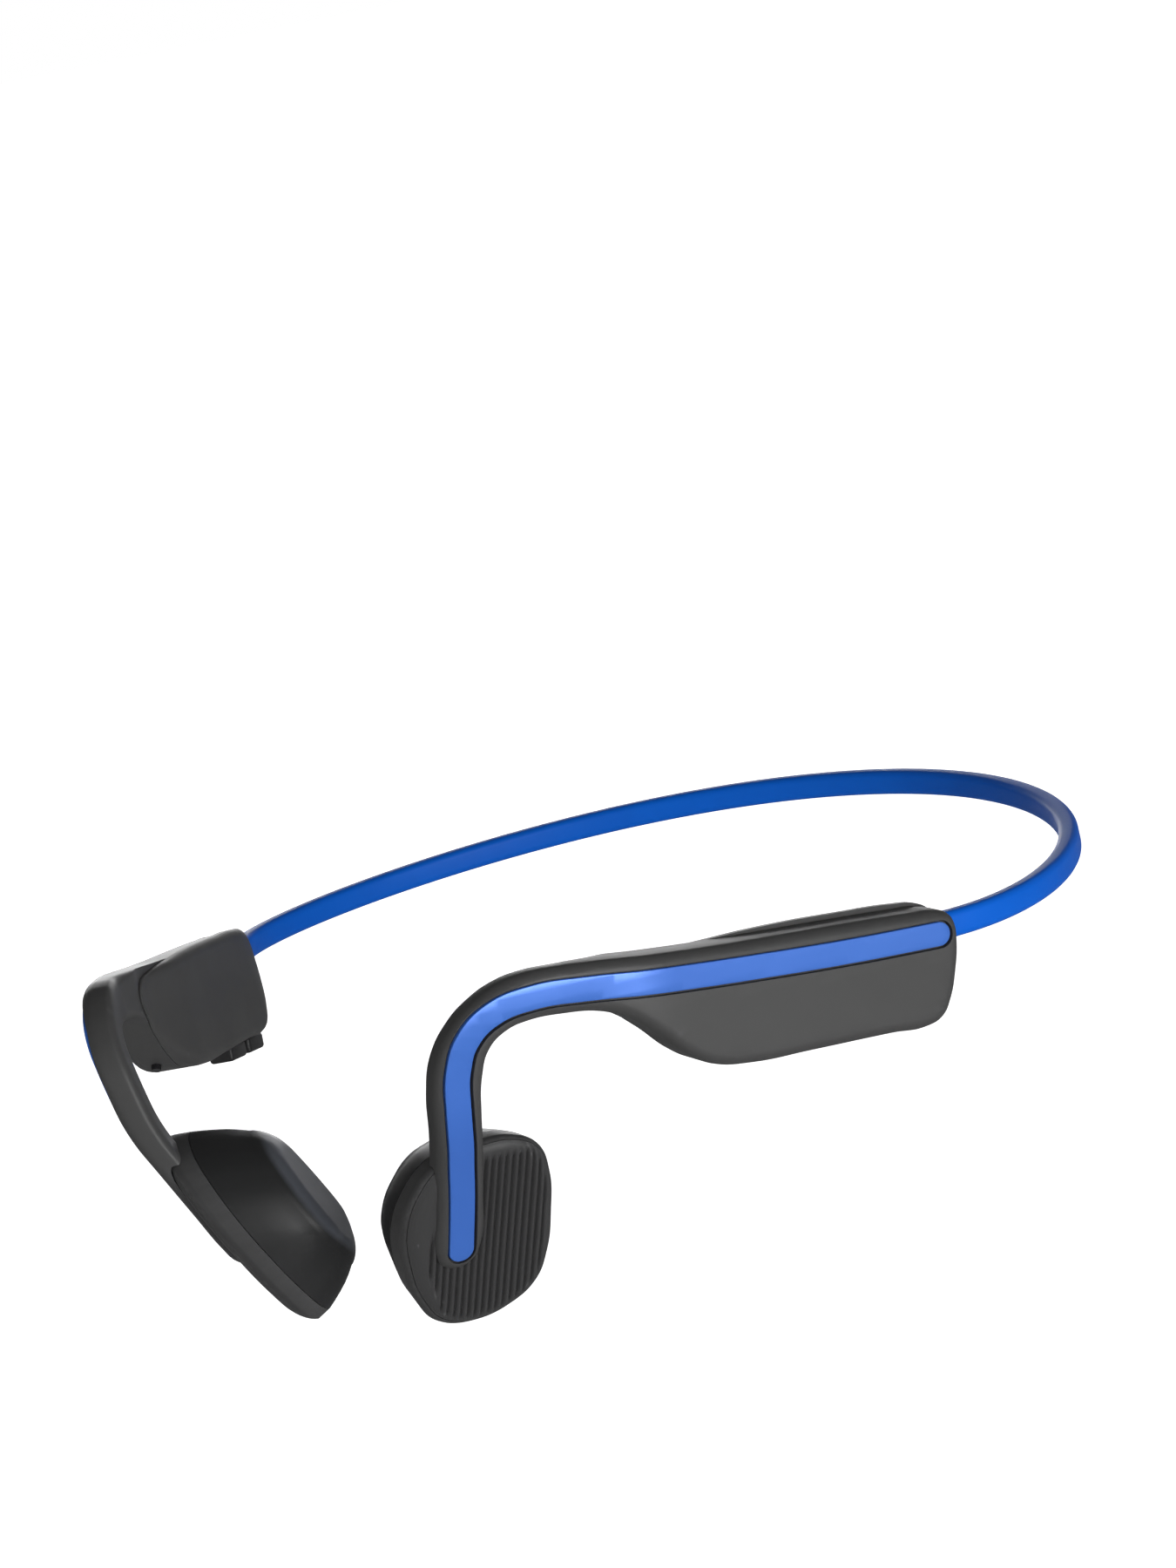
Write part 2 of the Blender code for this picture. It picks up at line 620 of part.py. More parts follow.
def band_point(side, t):
    """A place on the neckband's centre line: t = 0 where it enters the housing, 1 at the rear."""
    along = Vector((side * math.sin(TOE_IN) * math.cos(PITCH), math.cos(TOE_IN) * math.cos(PITCH),
                    -math.sin(PITCH)))
    start = Vector((side * EXIT_X, EXIT_Y, EXIT_Z))
    rear = Vector((0, EXIT_Y + BAND_DEPTH, EXIT_Z))
    first = start + along * BAND_REACH_EXIT
    second = rear + Vector((side * BAND_REACH_REAR, 0, 0))
    s = 1 - t
    return s ** 3 * start + 3 * s * s * t * first + 3 * s * t * t * second + t ** 3 * rear


def band_route(side, inside, stop, lift=0.0, steps=18):
    """Centre-line points from a length inside the housing to t = stop, raised by lift."""
    forward = arm_matrix(side).to_3x3() @ Vector((1, 0, 0))
    points = [band_point(side, 0) + forward * inside]
    points += [band_point(side, stop * k / steps) for k in range(steps + 1)]
    return [point + Vector((0, 0, lift)) for point in points]


def tube_mesh(points, section=None, radius=0.0):
    """A capped tube along the points: round, or with a section of its own."""
    curve = bpy.data.curves.new("tube", "CURVE")
    curve.dimensions = "3D"
    curve.twist_mode = "Z_UP"
    curve.use_fill_caps = True
    curve.render_resolution_u = 0
    if section:
        curve.bevel_mode = "OBJECT"
        curve.bevel_object = section
    else:
        curve.bevel_depth = radius
        curve.bevel_resolution = 1
    spline = curve.splines.new("POLY")
    spline.points.add(len(points) - 1)
    for knot, point in zip(spline.points, points):
        knot.co = (*point, 1)
    obj = bpy.data.objects.new("tube", curve)
    bpy.context.scene.collection.objects.link(obj)
    mesh = outward(evaluated_mesh(obj))
    drop(obj)
    return mesh


def section_curve(wide, tall, rounding):
    """A rounded rectangle for the sleeve's cross-section."""
    curve = bpy.data.curves.new("section", "CURVE")
    curve.dimensions = "2D"
    corners = []
    for cx, cy, turn in ((1, 1, 0), (-1, 1, 90), (-1, -1, 180), (1, -1, 270)):
        for step in (0, 45, 90):
            angle = math.radians(turn + step)
            corners.append((cx * (wide / 2 - rounding) + rounding * math.cos(angle),
                            cy * (tall / 2 - rounding) + rounding * math.sin(angle)))
    spline = curve.splines.new("POLY")
    spline.points.add(len(corners) - 1)
    spline.use_cyclic_u = True
    for knot, (x, y) in zip(spline.points, corners):
        knot.co = (x, y, 0, 1)
    obj = bpy.data.objects.new("section", curve)
    bpy.context.scene.collection.objects.link(obj)
    return obj


def rear_cylinder(radius, height):
    work = bmesh.new()
    bmesh.ops.create_cone(work, cap_ends=True, segments=24, radius1=radius, radius2=radius, depth=height)
    bmesh.ops.translate(work, vec=(0, EXIT_Y + BAND_DEPTH, EXIT_Z), verts=work.verts)
    mesh = bpy.data.meshes.new("rear")
    work.to_mesh(mesh)
    work.free()
    return mesh


def neckband(collection, hinge):
    """Sleeve, spring wire and signal cable of both halves, which meet at the rear."""
    for label, side in (("left", 1), ("right", -1)):
        outer = section_curve(BAND_THICK, BAND_HEIGHT, BAND_ROUND)
        bore = section_curve(BAND_THICK - 2 * BAND_WALL, BAND_HEIGHT - 2 * BAND_WALL, 0.2 * MM)
        sleeve = tube_mesh(band_route(side, HOUSING_REAR + BAND_INSET, 1.0), section=outer)
        sleeve = cut(sleeve, tube_mesh(band_route(side, HOUSING_REAR + 2 * BAND_INSET, 1.0), section=bore))
        drop(outer)
        drop(bore)
        if side > 0:
            sleeve = cut(sleeve, rear_cylinder(KNUCKLE_RADIUS + GAP, 2 * BAND_HEIGHT))
        else:
            sleeve = boolean(sleeve, rear_cylinder(KNUCKLE_RADIUS, BAND_HEIGHT - 0.2 * MM), "UNION")
        pieces = [
            ("band_sleeve", sleeve, BLUE_SILICONE),
            ("spring_wire", tube_mesh(band_route(side, WIRE_END, 0.97, lift=WIRE_OFFSET),
                                      radius=WIRE_DIAMETER / 2), TITANIUM),
            ("signal_cable", tube_mesh(band_route(side, WIRE_END, 0.97, lift=-WIRE_OFFSET),
                                       radius=CABLE_DIAMETER / 2), COPPER),
        ]
        for name, mesh, look in pieces:
            obj = wrap(label + "_" + name, mesh, collection, None, look)
            mesh.shade_smooth()
            mesh.set_sharp_from_angle(angle=math.radians(40))
            if side < 0:
                obj.parent = hinge
                obj.matrix_parent_inverse = hinge.matrix_world.inverted()


def build_arm(label, side, collection, arm):
    is_right = side < 0
    port = port_cutters if is_right else list
    keys = key_cutters if is_right else list
    light = [light_hole()] if is_right else []
    shell = arm_shell(port() + keys() + light)
    cover = inner_cover(port() + keys())
    shells = [
        ("arm_shell", shell, SOFT_BLACK),
        ("inlay_strip", inlay(), BLUE_STRIP),
        ("housing_cover", cover, SOFT_BLACK),
        ("pod_cup", pod_cup(), SOFT_BLACK),
        ("pod_cap", pod_cap(), DARK_BLACK),
    ]
    for name, mesh, look in shells:
        wrap(label + "_" + name, handed(mesh, side), collection, arm, look)
    plate_name = "ribbed_cap" if is_right else "multifunction_button"
    plate = wrap(plate_name, ribbed_plate(), collection, arm, SOFT_BLACK)
    centre = Vector((POD_CENTRE[0], bend(*POD_CENTRE), POD_CENTRE[1]))
    plate.data.transform(Matrix.Translation(-centre))
    handed(plate.data, side)
    plate.location = (centre.x, side * centre.y, centre.z)
    drive_unit(label, side, collection, arm)


def button_switch(collection, arm):
    mesh = box_mesh((3 * MM, 1.4 * MM, 3 * MM), (0, 0, 0))
    switch = wrap("button_switch", mesh, collection, arm, RUBBER)
    x, z = POD_CENTRE
    switch.location = (x, 1.15 * MM + bend(x, z), z)
    switch.rotation_euler = pod_stack_matrix(1).to_euler()


def main():
    clear_scene()
    collection = new_collection("bone_conduction_headphones")
    rear = Matrix.Translation((0, EXIT_Y + BAND_DEPTH, EXIT_Z))
    hinge = empty("band_hinge", collection, rear)
    left = empty("left_arm_frame", collection, arm_matrix(1))
    right = empty("right_arm_frame", collection, arm_matrix(-1), parent=hinge)
    build_arm("left", 1, collection, left)
    build_arm("right", -1, collection, right)
    left_contents(collection, left)
    button_switch(collection, left)
    right_contents(collection, right)
    light_pipe(collection, right)
    charging_port(collection, right)
    neckband(collection, hinge)


main()
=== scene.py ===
"""The looks of the bone conduction headphones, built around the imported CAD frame.

The shells are made again at full quality from the outlines that the CAD parts have, in the same flat
frame: x runs forward from where the neckband enters the housing, y runs outward from the head and z
runs up, all in millimetres. The flat pieces are bent inward by bend(), mirrored for the right arm and
placed with arm_matrix(). The neckband and the camera's place are worked out in millimetres in the frame
of the part, and the floor and the lights are in metres there.
"""

import json
import math

import bmesh
import bpy
from mathutils import Matrix, Vector


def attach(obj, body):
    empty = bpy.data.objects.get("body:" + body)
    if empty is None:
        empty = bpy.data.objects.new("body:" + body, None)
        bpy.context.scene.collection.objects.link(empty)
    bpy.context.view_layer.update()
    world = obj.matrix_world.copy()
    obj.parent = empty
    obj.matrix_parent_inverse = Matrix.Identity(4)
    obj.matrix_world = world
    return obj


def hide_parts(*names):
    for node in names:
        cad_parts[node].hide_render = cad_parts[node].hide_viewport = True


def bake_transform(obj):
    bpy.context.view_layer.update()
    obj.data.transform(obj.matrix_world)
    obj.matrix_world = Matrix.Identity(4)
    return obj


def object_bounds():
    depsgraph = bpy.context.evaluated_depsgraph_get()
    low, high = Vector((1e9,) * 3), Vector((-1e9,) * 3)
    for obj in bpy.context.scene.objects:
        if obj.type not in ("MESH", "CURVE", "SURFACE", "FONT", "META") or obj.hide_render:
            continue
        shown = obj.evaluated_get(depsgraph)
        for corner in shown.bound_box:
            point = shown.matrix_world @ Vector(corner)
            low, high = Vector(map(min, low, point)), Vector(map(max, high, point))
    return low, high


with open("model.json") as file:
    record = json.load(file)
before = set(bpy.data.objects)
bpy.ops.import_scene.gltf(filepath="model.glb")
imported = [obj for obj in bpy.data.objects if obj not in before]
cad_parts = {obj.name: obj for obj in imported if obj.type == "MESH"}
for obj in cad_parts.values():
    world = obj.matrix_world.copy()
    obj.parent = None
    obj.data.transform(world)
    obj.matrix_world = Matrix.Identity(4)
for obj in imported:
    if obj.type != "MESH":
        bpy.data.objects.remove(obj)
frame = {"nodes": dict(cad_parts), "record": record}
CAD_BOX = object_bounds()
MM = 0.001

# Sizes that the CAD part has too
EXIT = Vector((58.3, 48.27, 14.41))    # where the neckband enters the left housing
BAND_DEPTH = 63.7
BAND_THICK = 2.6
BAND_HEIGHT = 3.3
BAND_ROUND = 0.85
BAND_REACH_EXIT = 24.9
BAND_REACH_REAR = 42.9
BAND_START = 4.2                      # how far forward the sleeve goes inside the housing
WIRE_DIAMETER = 0.7
CABLE_DIAMETER = 0.55
WIRE_OFFSET = 0.45
WIRE_END = 5.6
WIRE_WAY_SIZE = (6, 1.4, 2)           # passage for the wire and the cable into the housing
WIRE_WAY_CENTRE = (6, 0, 0)
BAND_WALL = 0.7
TOE_IN = math.radians(25.5)
PITCH = math.radians(4.1)
FRONT_BEND_START = 44
FRONT_SLOPE = 0.215
DROP_BEND_START = 4
DROP_SLOPE = 0.23
KNEE_START = -9
KNEE_SLOPE = 0.31
SOFT = 3
HOOK_BLEND = (44, 53)
TAPER_START = 33
TAPER_END = 50
TOP_TAPER = 0.35
TOP_TAPER_RANGE = (-7, 3)
REAR_TAPER = 0.2
REAR_TAPER_FROM = 8                   # from here backward
REAR_TAPER_LENGTH = 5.5
THIN_FROM = 3.5
THIN_SHARE = 0.34
THIN_RANGE = (47, 55)
OUTER = 5.2
INNER = -3.3
SPLIT = -0.5
CAVITY_OUTER = 3.0
CAVITY_INNER = -2.4
TILT = math.radians(-6)
STRIP_WIDTH = 2.9
STRIP_DEPTH = 0.8
STRIP_SUNK = 0.15
RIM = 3.8
POD_SPLIT = -0.6
CONTACT = -10.2
CHIN = 0.05
CHIN_START = -22
CHIN_LENGTH = 10
LOW_SLANT = 0.55
LOW_SLANT_RANGE = (22, 35)            # downward
SLANT_START = 1.2
FRONT_SLANT = 0.12
FRONT_SLANT_RANGE = (63, 70)
PLATE_FACE = 3.5
PLATE_THICK = 1.1
PLATE_ROOM = 0.8                      # free depth behind the plate
POD_OPENING = (7, 20, 9)              # hole through the cup, behind the plate
RIB_PITCH = 0.83
POD_CENTRE = (63.1, -23.2)
PORT_CENTRE = (29.6, 1.2, -8.35)
PORT_COVER_SIZE = (10.6, 4.2, 1.0)
PORT_AXIS_FORWARD = 4.8
KEY_SIZE = (6.0, 3.4, 2.1)
KEY_CENTRES = {"volume_up_key": (9.6, -0.2, -11.3), "volume_down_key": (17.2, -0.2, -10.55)}
LIGHT_CENTRE = (38.6, 2.0, -6.4)
LIGHT_LEAN = math.radians(35)
CONTACT_NORMAL = (0.6862, -0.5697, -0.4524)   # of the left contact face, away from the head
CONTACT_DEPTH = 0.006964                     # how far that face is from the origin, in metres

# Sizes that only the looks have, or that differ from the CAD part's
SEAM = 0.12                           # gap between two mouldings
GROOVE_GAP = 0.26                     # dark line round the inlay
GROOVE_UNDER = 0.1                    # gap under the inlay
EDGE_OUTER = 1.35                     # rounding of the arm's outer edge, seen from outside
EDGE_OUTER_DEPTH = 1.8                # and along its depth
EDGE_BACK = 1.5                       # rounding of the hook's back edge
EDGE_BACK_RANGE = (46, 54)            # where that rounding begins along the arm
EDGE_COVER = 1.5
EDGE_STRIP = 0.12
EDGE_KEY = 0.45
KEY_GROOVE_RADIUS = 0.28              # the two grooves across each key
KEY_GROOVE_PLACE = 1.1
TAPER_LEFT = 0.12                     # share of the cover's depth left at its front; 0.3 in the CAD part
SLICE = 1.2                           # spacing of the added edges on bent shells
POD_EDGE = 2.3                        # rounding of the pod's outer edge
PLATE_SEAM_INSET = 0.55               # where the seam round the ribbed plate runs
RIB_DEPTH = 0.6                       # 0.3 in the CAD part
RIB_TOP = -12.9
RIB_FRONT = 67.4
RIB_EDGE_FADE = (0.7, 1.5)            # distance from the pod's edge over which the ribs begin
RIB_TOP_FADE = 1.3
RIB_SHARPNESS = 0.45                  # below 1 the ribs are broad and the grooves narrow
POINTS_CENTRE = -25.5                 # the long pointed grooves in front of the arm
POINTS_HALF = 7.5
POINTS_TAPER = 2.4
POINTS_FADE = 2.2
POINTS_END = 69.4
BORE_ROUND = 0.2
PORT_ROOM_SIZE = (8.9, 3.2, 5.0)      # room for the charging port above its cover
PORT_ROOM_RAISE = 2
PORT_CUT_ARM = 6                      # depth of the cover's hole in the arm shell
PORT_CUT_COVER = 2.5                  # and in the inner cover
FLAP_TOP = 0.4                        # the flap's inner face, above its centre
KEY_ROOM_HEIGHT = 7
LIGHT_HOLE_RADIUS = 0.62
LIGHT_HOLE_DEPTH = 6
CAP_LEAN = 1.05                       # how far in the cap's wall is where its ridge begins
CAP_RIDGE = 2.7                       # radius of that ridge
CAP_FLOOR = 2.08                      # thickness behind the contact face
CAP_ROOM_INSETS = (3.4, 1.7)          # of the cap's hollow, at the contact face and at the rim
PAINTED_FACE_LIGHT_EDGE = (0.0013, 0.0007)          # depths from the contact face, in metres, over which that face is painted lighter as painted light
GRAIN_DEPTH = 0.00004                 # bump depths, in metres
FLAKE_DEPTH = 0.00002

ARM_OUTLINE = [
    (2.6, -1.2), (2.55, 0.9), (3.2, 2.3), (4.9, 3.1), (8.3, 3.55), (15, 4.25), (24, 5.1), (33, 5.95),
    (42, 7.0), (48, 7.75), (53, 8.2), (57, 8.3), (60.2, 7.8), (63.4, 6.4), (66.2, 4.2), (68.4, 0.8),
    (69.3, -4), (69.25, -9), (68.95, -14), (68.7, -20), (68.5, -24.8), (67.8, -26.6), (66, -27.5),
    (64.1, -26.7), (63.2, -24.6), (63.3, -18), (63.7, -12), (63.9, -7), (63.5, -2.6), (62.5, 0.3),
    (60.6, 1.9), (57.8, 2.6), (53.5, 2.5), (49.5, 1.85), (46.6, 0.5), (43.4, -2.2), (40.2, -5.4),
    (37, -7.5), (32, -8.65), (24, -9.25), (13, -10), (8.4, -10.4), (6.1, -9.7), (4.7, -7.9), (3.4, -4.6),
]
COVER_OUTLINE = [
    (2.6, -1.2), (2.55, 0.9), (3.2, 2.3), (4.6, 3.3), (8.3, 4.1), (15, 4.8), (24, 5.6), (33, 5.95),
    (42, 6.0), (46.0, 5.5), (47.8, 4.1), (47.6, 2.3), (45.6, -0.1), (43.4, -2.2), (40.2, -5.4),
    (37, -7.5), (32, -8.65), (24, -9.25), (13, -10), (8.4, -10.4), (6.1, -9.7), (4.7, -7.9), (3.4, -4.6),
]
CAVITY_OUTLINE = [
    (4.2, 0.3), (7.4, 1.9), (20, 3.3), (35, 4.4), (42.0, 3.8), (42.0, -1), (38.2, -5.2), (33, -7.2),
    (20, -8.3), (9.0, -9.1), (6.8, -8.4), (5.2, -6.0),
]
STRIP_PATH = [
    (5.3, 0.35), (16, 1.15), (30, 2.55), (44, 4.2), (51, 5.05), (57.2, 5.45), (62.1, 4.55), (65.2, 2.2),
    (66.6, -1.2), (66.95, -6), (66.65, -12), (66.2, -18), (65.9, -24.9),
]
POD_OUTLINE = [
    (66.3, -12.0), (62.8, -11.2), (59.4, -11.5), (56.3, -13.4), (54.6, -17.4), (54, -23),
    (54.1, -28.4), (55.3, -32.4), (58.2, -34.9), (62.4, -36.1), (66.6, -35.2), (69.5, -31.7),
    (71.6, -26), (72.2, -20.5), (70.8, -15.9), (68.8, -13.3),
]


# Shapes

def soft(distance):
    """A ramp that starts smoothly over SOFT on both sides of zero."""
    if distance <= -SOFT:
        return 0.0
    if distance >= SOFT:
        return distance
    return (distance + SOFT) ** 2 / (4 * SOFT)


def smooth_step(value, low, high):
    t = min(max((value - low) / (high - low), 0.0), 1.0)
    return t * t * (3 - 2 * t)


def bend(x, z):
    """How far the flat arm moves inward (negative) at this place."""
    hook = smooth_step(x, *HOOK_BLEND)
    drop = DROP_SLOPE * soft(DROP_BEND_START - z) + KNEE_SLOPE * soft(KNEE_START - z)
    return -FRONT_SLOPE * soft(x - FRONT_BEND_START) - drop * hook


def evaluated_mesh(obj):
    bpy.context.view_layer.update()
    depsgraph = bpy.context.evaluated_depsgraph_get()
    return bpy.data.meshes.new_from_object(obj.evaluated_get(depsgraph))


def temporary(data):
    obj = bpy.data.objects.new("temporary", data)
    bpy.context.scene.collection.objects.link(obj)
    return obj


def drop(obj):
    bpy.data.objects.remove(obj, do_unlink=True)


def smooth_path(points, cyclic=True, steps=9):
    """The smooth curve through the points, as a list of 2D vectors."""
    curve = bpy.data.curves.new("path", "CURVE")
    curve.dimensions = "2D"
    curve.fill_mode = "NONE"
    curve.resolution_u = steps
    spline = curve.splines.new("BEZIER")
    spline.bezier_points.add(len(points) - 1)
    spline.use_cyclic_u = cyclic
    for knot, (x, z) in zip(spline.bezier_points, points):
        knot.co = (x, z, 0)
        knot.handle_left_type = "AUTO"
        knot.handle_right_type = "AUTO"
    obj = temporary(curve)
    path = [vertex.co.xy.copy() for vertex in evaluated_mesh(obj).vertices]
    drop(obj)
    return path


def anticlockwise(path):
    area = sum(a.cross(b) for a, b in zip(path, path[1:] + path[:1]))
    return path if area > 0 else path[::-1]


def inward_vectors(path):
    vectors = []
    for index in range(len(path)):
        along = path[(index + 1) % len(path)] - path[index - 1]
        vectors.append(Vector((-along.y, along.x)).normalized())
    return vectors


def rounding(radius, face, way, steps=6, depth=None):
    """Rings (inset, y) of a round edge that ends at y = face; way is +1 for a face that looks outward."""
    depth = depth or radius
    rings = []
    for step in range(steps + 1):
        angle = math.pi / 2 * step / steps
        rings.append((radius * (1 - math.cos(angle)), face - way * depth * (1 - math.sin(angle))))
    return rings if way > 0 else rings[::-1]


def loft(path, back_rings, face_rings, back_share=None):
    """A closed solid whose outline is drawn in ring by ring, from its back to its face."""
    path = anticlockwise(path)
    inward = inward_vectors(path)
    work = bmesh.new()
    loops = []
    for rings, share in ((back_rings, back_share), (face_rings, None)):
        for inset, y in rings:
            loop = []
            for point, vector in zip(path, inward):
                place = point + vector * inset * (share(*point) if share else 1)
                loop.append(work.verts.new((place.x, y, place.y)))
            loops.append(loop)
    return closed_skin(work, loops, "loft")


def closed_skin(work, loops, name):
    """Joins loops of equal length, in order, into a closed solid with a cap at each end."""
    for low, high in zip(loops, loops[1:]):
        for index in range(len(low)):
            after = (index + 1) % len(low)
            work.faces.new((low[index], low[after], high[after], high[index]))
    work.faces.new(loops[0][::-1])
    work.faces.new(loops[-1])
    bmesh.ops.recalc_face_normals(work, faces=work.faces)
    return finished(work, name)


def finished(work, name):
    mesh = bpy.data.meshes.new(name)
    work.to_mesh(mesh)
    work.free()
    return mesh


def ribbon_outline(width):
    """The closed outline of a band of this width that follows STRIP_PATH and has round ends."""
    centre = smooth_path(STRIP_PATH, cyclic=False)
    left, right = [], []
    for index, point in enumerate(centre):
        ahead = centre[min(index + 1, len(centre) - 1)] - centre[max(index - 1, 0)]
        side = Vector((-ahead.y, ahead.x)).normalized() * width / 2
        left.append(point + side)
        right.append(point - side)
    return (left + half_circle(centre[-1], left[-1] - centre[-1])
            + right[::-1] + half_circle(centre[0], right[0] - centre[0]))


def half_circle(centre, arm, steps=14):
    """Points of a half circle that starts at centre + arm and turns clockwise, without its ends."""
    return [centre + Matrix.Rotation(-math.pi * k / steps, 2) @ arm for k in range(1, steps)]


def box_mesh(size, centre=(0, 0, 0)):
    work = bmesh.new()
    bmesh.ops.create_cube(work, size=1)
    bmesh.ops.scale(work, vec=size, verts=work.verts)
    bmesh.ops.translate(work, vec=centre, verts=work.verts)
    return finished(work, "box")


def rod_mesh(radius, depth, sides=32):
    work = bmesh.new()
    bmesh.ops.create_cone(work, cap_ends=True, segments=sides, radius1=radius, radius2=radius, depth=depth)
    return finished(work, "rod")


def tilted(mesh, centre):
    """Turns a mesh into the housing's tilted frame and puts it at centre."""
    mesh.transform(Matrix.Translation(centre) @ Matrix.Rotation(TILT, 4, "Y"))
    return mesh


def boolean(mesh, other, operation="DIFFERENCE"):
    """The mesh cut by, joined with, or limited to another mesh."""
    obj = temporary(mesh)
    tool = temporary(other)
    modifier = obj.modifiers.new("join", "BOOLEAN")
    modifier.operation = operation
    modifier.solver = "MANIFOLD"
    modifier.object = tool
    made = evaluated_mesh(obj)
    drop(obj)
    drop(tool)
    return made


def cut(mesh, *tools):
    for tool in tools:
        mesh = boolean(mesh, tool)
    return mesh


def sliced(mesh, x_step=SLICE, z_step=SLICE):
    """Adds edges across the mesh on a square grid, so that it bends and shades evenly."""
    work = bmesh.new()
    work.from_mesh(mesh)
    bmesh.ops.remove_doubles(work, verts=work.verts, dist=0.002)
    for axis, step in ((0, x_step), (2, z_step)):
        low = min(vertex.co[axis] for vertex in work.verts)
        high = max(vertex.co[axis] for vertex in work.verts)
        normal = Vector((0, 0, 0))
        normal[axis] = 1
        for k in range(math.ceil(low / step), math.floor(high / step) + 1):
            everything = work.verts[:] + work.edges[:] + work.faces[:]
            bmesh.ops.bisect_plane(work, geom=everything, dist=0.001, plane_co=normal * k * step,
                                   plane_no=normal)
    bmesh.ops.triangulate(work, faces=work.faces)
    work.to_mesh(mesh)
    work.free()
    return mesh


def thinned(x, y):
    """The hook is thinner than the housing."""
    keep = 1 - THIN_SHARE * smooth_step(x, *THIN_RANGE)
    return y if y > THIN_FROM else THIN_FROM - (THIN_FROM - y) * keep


def tapered(x, y, z):
    """The inner cover gets flatter towards its front, its top and its rear."""
    front = 1 - (1 - TAPER_LEFT) * smooth_step(x, TAPER_START, TAPER_END)
    top = 1 - TOP_TAPER * smooth_step(z, *TOP_TAPER_RANGE)
    rear = 1 - REAR_TAPER * smooth_step(REAR_TAPER_FROM - x, 0, REAR_TAPER_LENGTH)
    return SPLIT + (y - SPLIT) * front * top * rear


def pod_slanted(x, y, z):
    """The pod's lower end slants up towards its contact face and its front leans back."""
    low = LOW_SLANT * max(SLANT_START - y, 0) * smooth_step(-z, *LOW_SLANT_RANGE)
    front = FRONT_SLANT * max(POD_SPLIT - y, 0) * smooth_step(x, *FRONT_SLANT_RANGE)
    depth = 1 - CHIN * smooth_step(CHIN_START - z, 0, CHIN_LENGTH)
    return x - front, POD_SPLIT + (y - POD_SPLIT) * depth if y < POD_SPLIT else y, z + low


def bent(mesh, shape=None, x_step=SLICE, z_step=SLICE):
    """Moves the flat mesh onto the bent arm, with the shape's own thinning or taper."""
    sliced(mesh, x_step, z_step)
    for vertex in mesh.vertices:
        x, y, z = vertex.co
        if shape == "cover":
            y = tapered(x, y, z)
        if shape in ("arm", "cover"):
            y = thinned(x, y)
        elif shape == "pod":
            x, y, z = pod_slanted(x, y, z)
        vertex.co = (x, y + bend(x, z), z)
    return mesh


def arm_matrix(side):
    """The arm's frame: forward, outward (inward on the right arm) and up, from millimetres to metres."""
    forward = Vector((-side * math.sin(TOE_IN) * math.cos(PITCH), -math.cos(TOE_IN) * math.cos(PITCH),
                      math.sin(PITCH)))
    across = Vector((math.cos(TOE_IN), -side * math.sin(TOE_IN), 0))
    up = forward.cross(across)
    turn = Matrix((forward, across, up)).transposed().to_4x4()
    place = Matrix.Translation(Vector((side * EXIT.x, EXIT.y, EXIT.z)) * MM)
    return place @ turn @ Matrix.Scale(MM, 4)


def handed(mesh, side):
    """Mirrors the flat mesh for the right arm."""
    if side < 0:
        work = bmesh.new()
        work.from_mesh(mesh)
        bmesh.ops.scale(work, vec=(1, -1, 1), verts=work.verts)
        bmesh.ops.reverse_faces(work, faces=work.faces)
        work.to_mesh(mesh)
        work.free()
    return mesh


def piece(name, mesh, body, look, slot, *nodes, sharp=38):
    """A finished piece in metres that rides on a body and stands for CAD nodes."""
    mesh.shade_smooth()
    mesh.set_sharp_from_angle(angle=math.radians(sharp))
    mesh.materials.clear()
    mesh.materials.append(look)
    obj = bpy.data.objects.new(name, mesh)
    bpy.context.scene.collection.objects.link(obj)
    if body:
        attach(obj, body)
    if nodes:
        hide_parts(*nodes)
    return obj


def arm_piece(name, mesh, side, body, look, slot, *nodes):
    handed(mesh, side)
    mesh.transform(arm_matrix(side))
    return piece(name, mesh, body, look, slot, *nodes)


# Mouldings of one arm, in the flat frame

def hook_share(x, _z):
    """The back edge is round along the hook only, because the housing goes on into its cover."""
    return smooth_step(x, *EDGE_BACK_RANGE)


def arm_solid():
    back = rounding(EDGE_BACK, SPLIT + SEAM / 2, -1)
    front = rounding(EDGE_OUTER, OUTER, 1, depth=EDGE_OUTER_DEPTH)
    return loft(smooth_path(ARM_OUTLINE), back, front, hook_share)


def prism(points, low_y, high_y, steps=9):
    return loft(smooth_path(points, steps=steps), [(0, low_y)], [(0, high_y)])


def band_socket():
    return box_mesh((2 * (BAND_START + SEAM), BAND_THICK + 2 * SEAM, BAND_HEIGHT + 2 * SEAM))


def wire_way():
    return box_mesh(WIRE_WAY_SIZE, WIRE_WAY_CENTRE)


def groove():
    outline = ribbon_outline(STRIP_WIDTH + 2 * GROOVE_GAP)
    return loft(outline, [(0, OUTER - STRIP_DEPTH - GROOVE_UNDER)], [(0, OUTER + 1)])


def port_block(grow, height):
    """The port cover's block, grown all round; its top stays level with the cover's."""
    size = (PORT_COVER_SIZE[0] + 2 * grow, PORT_COVER_SIZE[1] + 2 * grow, height)
    return tilted(box_mesh(size, (0, 0, (PORT_COVER_SIZE[2] - height) / 2)), PORT_CENTRE)


def key_rooms():
    rooms = []
    for centre in KEY_CENTRES.values():
        size = (KEY_SIZE[0] + 2 * SEAM, KEY_SIZE[1] + 2 * SEAM, KEY_ROOM_HEIGHT)
        rooms.append(tilted(box_mesh(size), centre))
    return rooms


def light_room():
    mesh = rod_mesh(LIGHT_HOLE_RADIUS, LIGHT_HOLE_DEPTH)
    mesh.transform(Matrix.Translation(LIGHT_CENTRE) @ Matrix.Rotation(-LIGHT_LEAN, 4, "Y"))
    return mesh


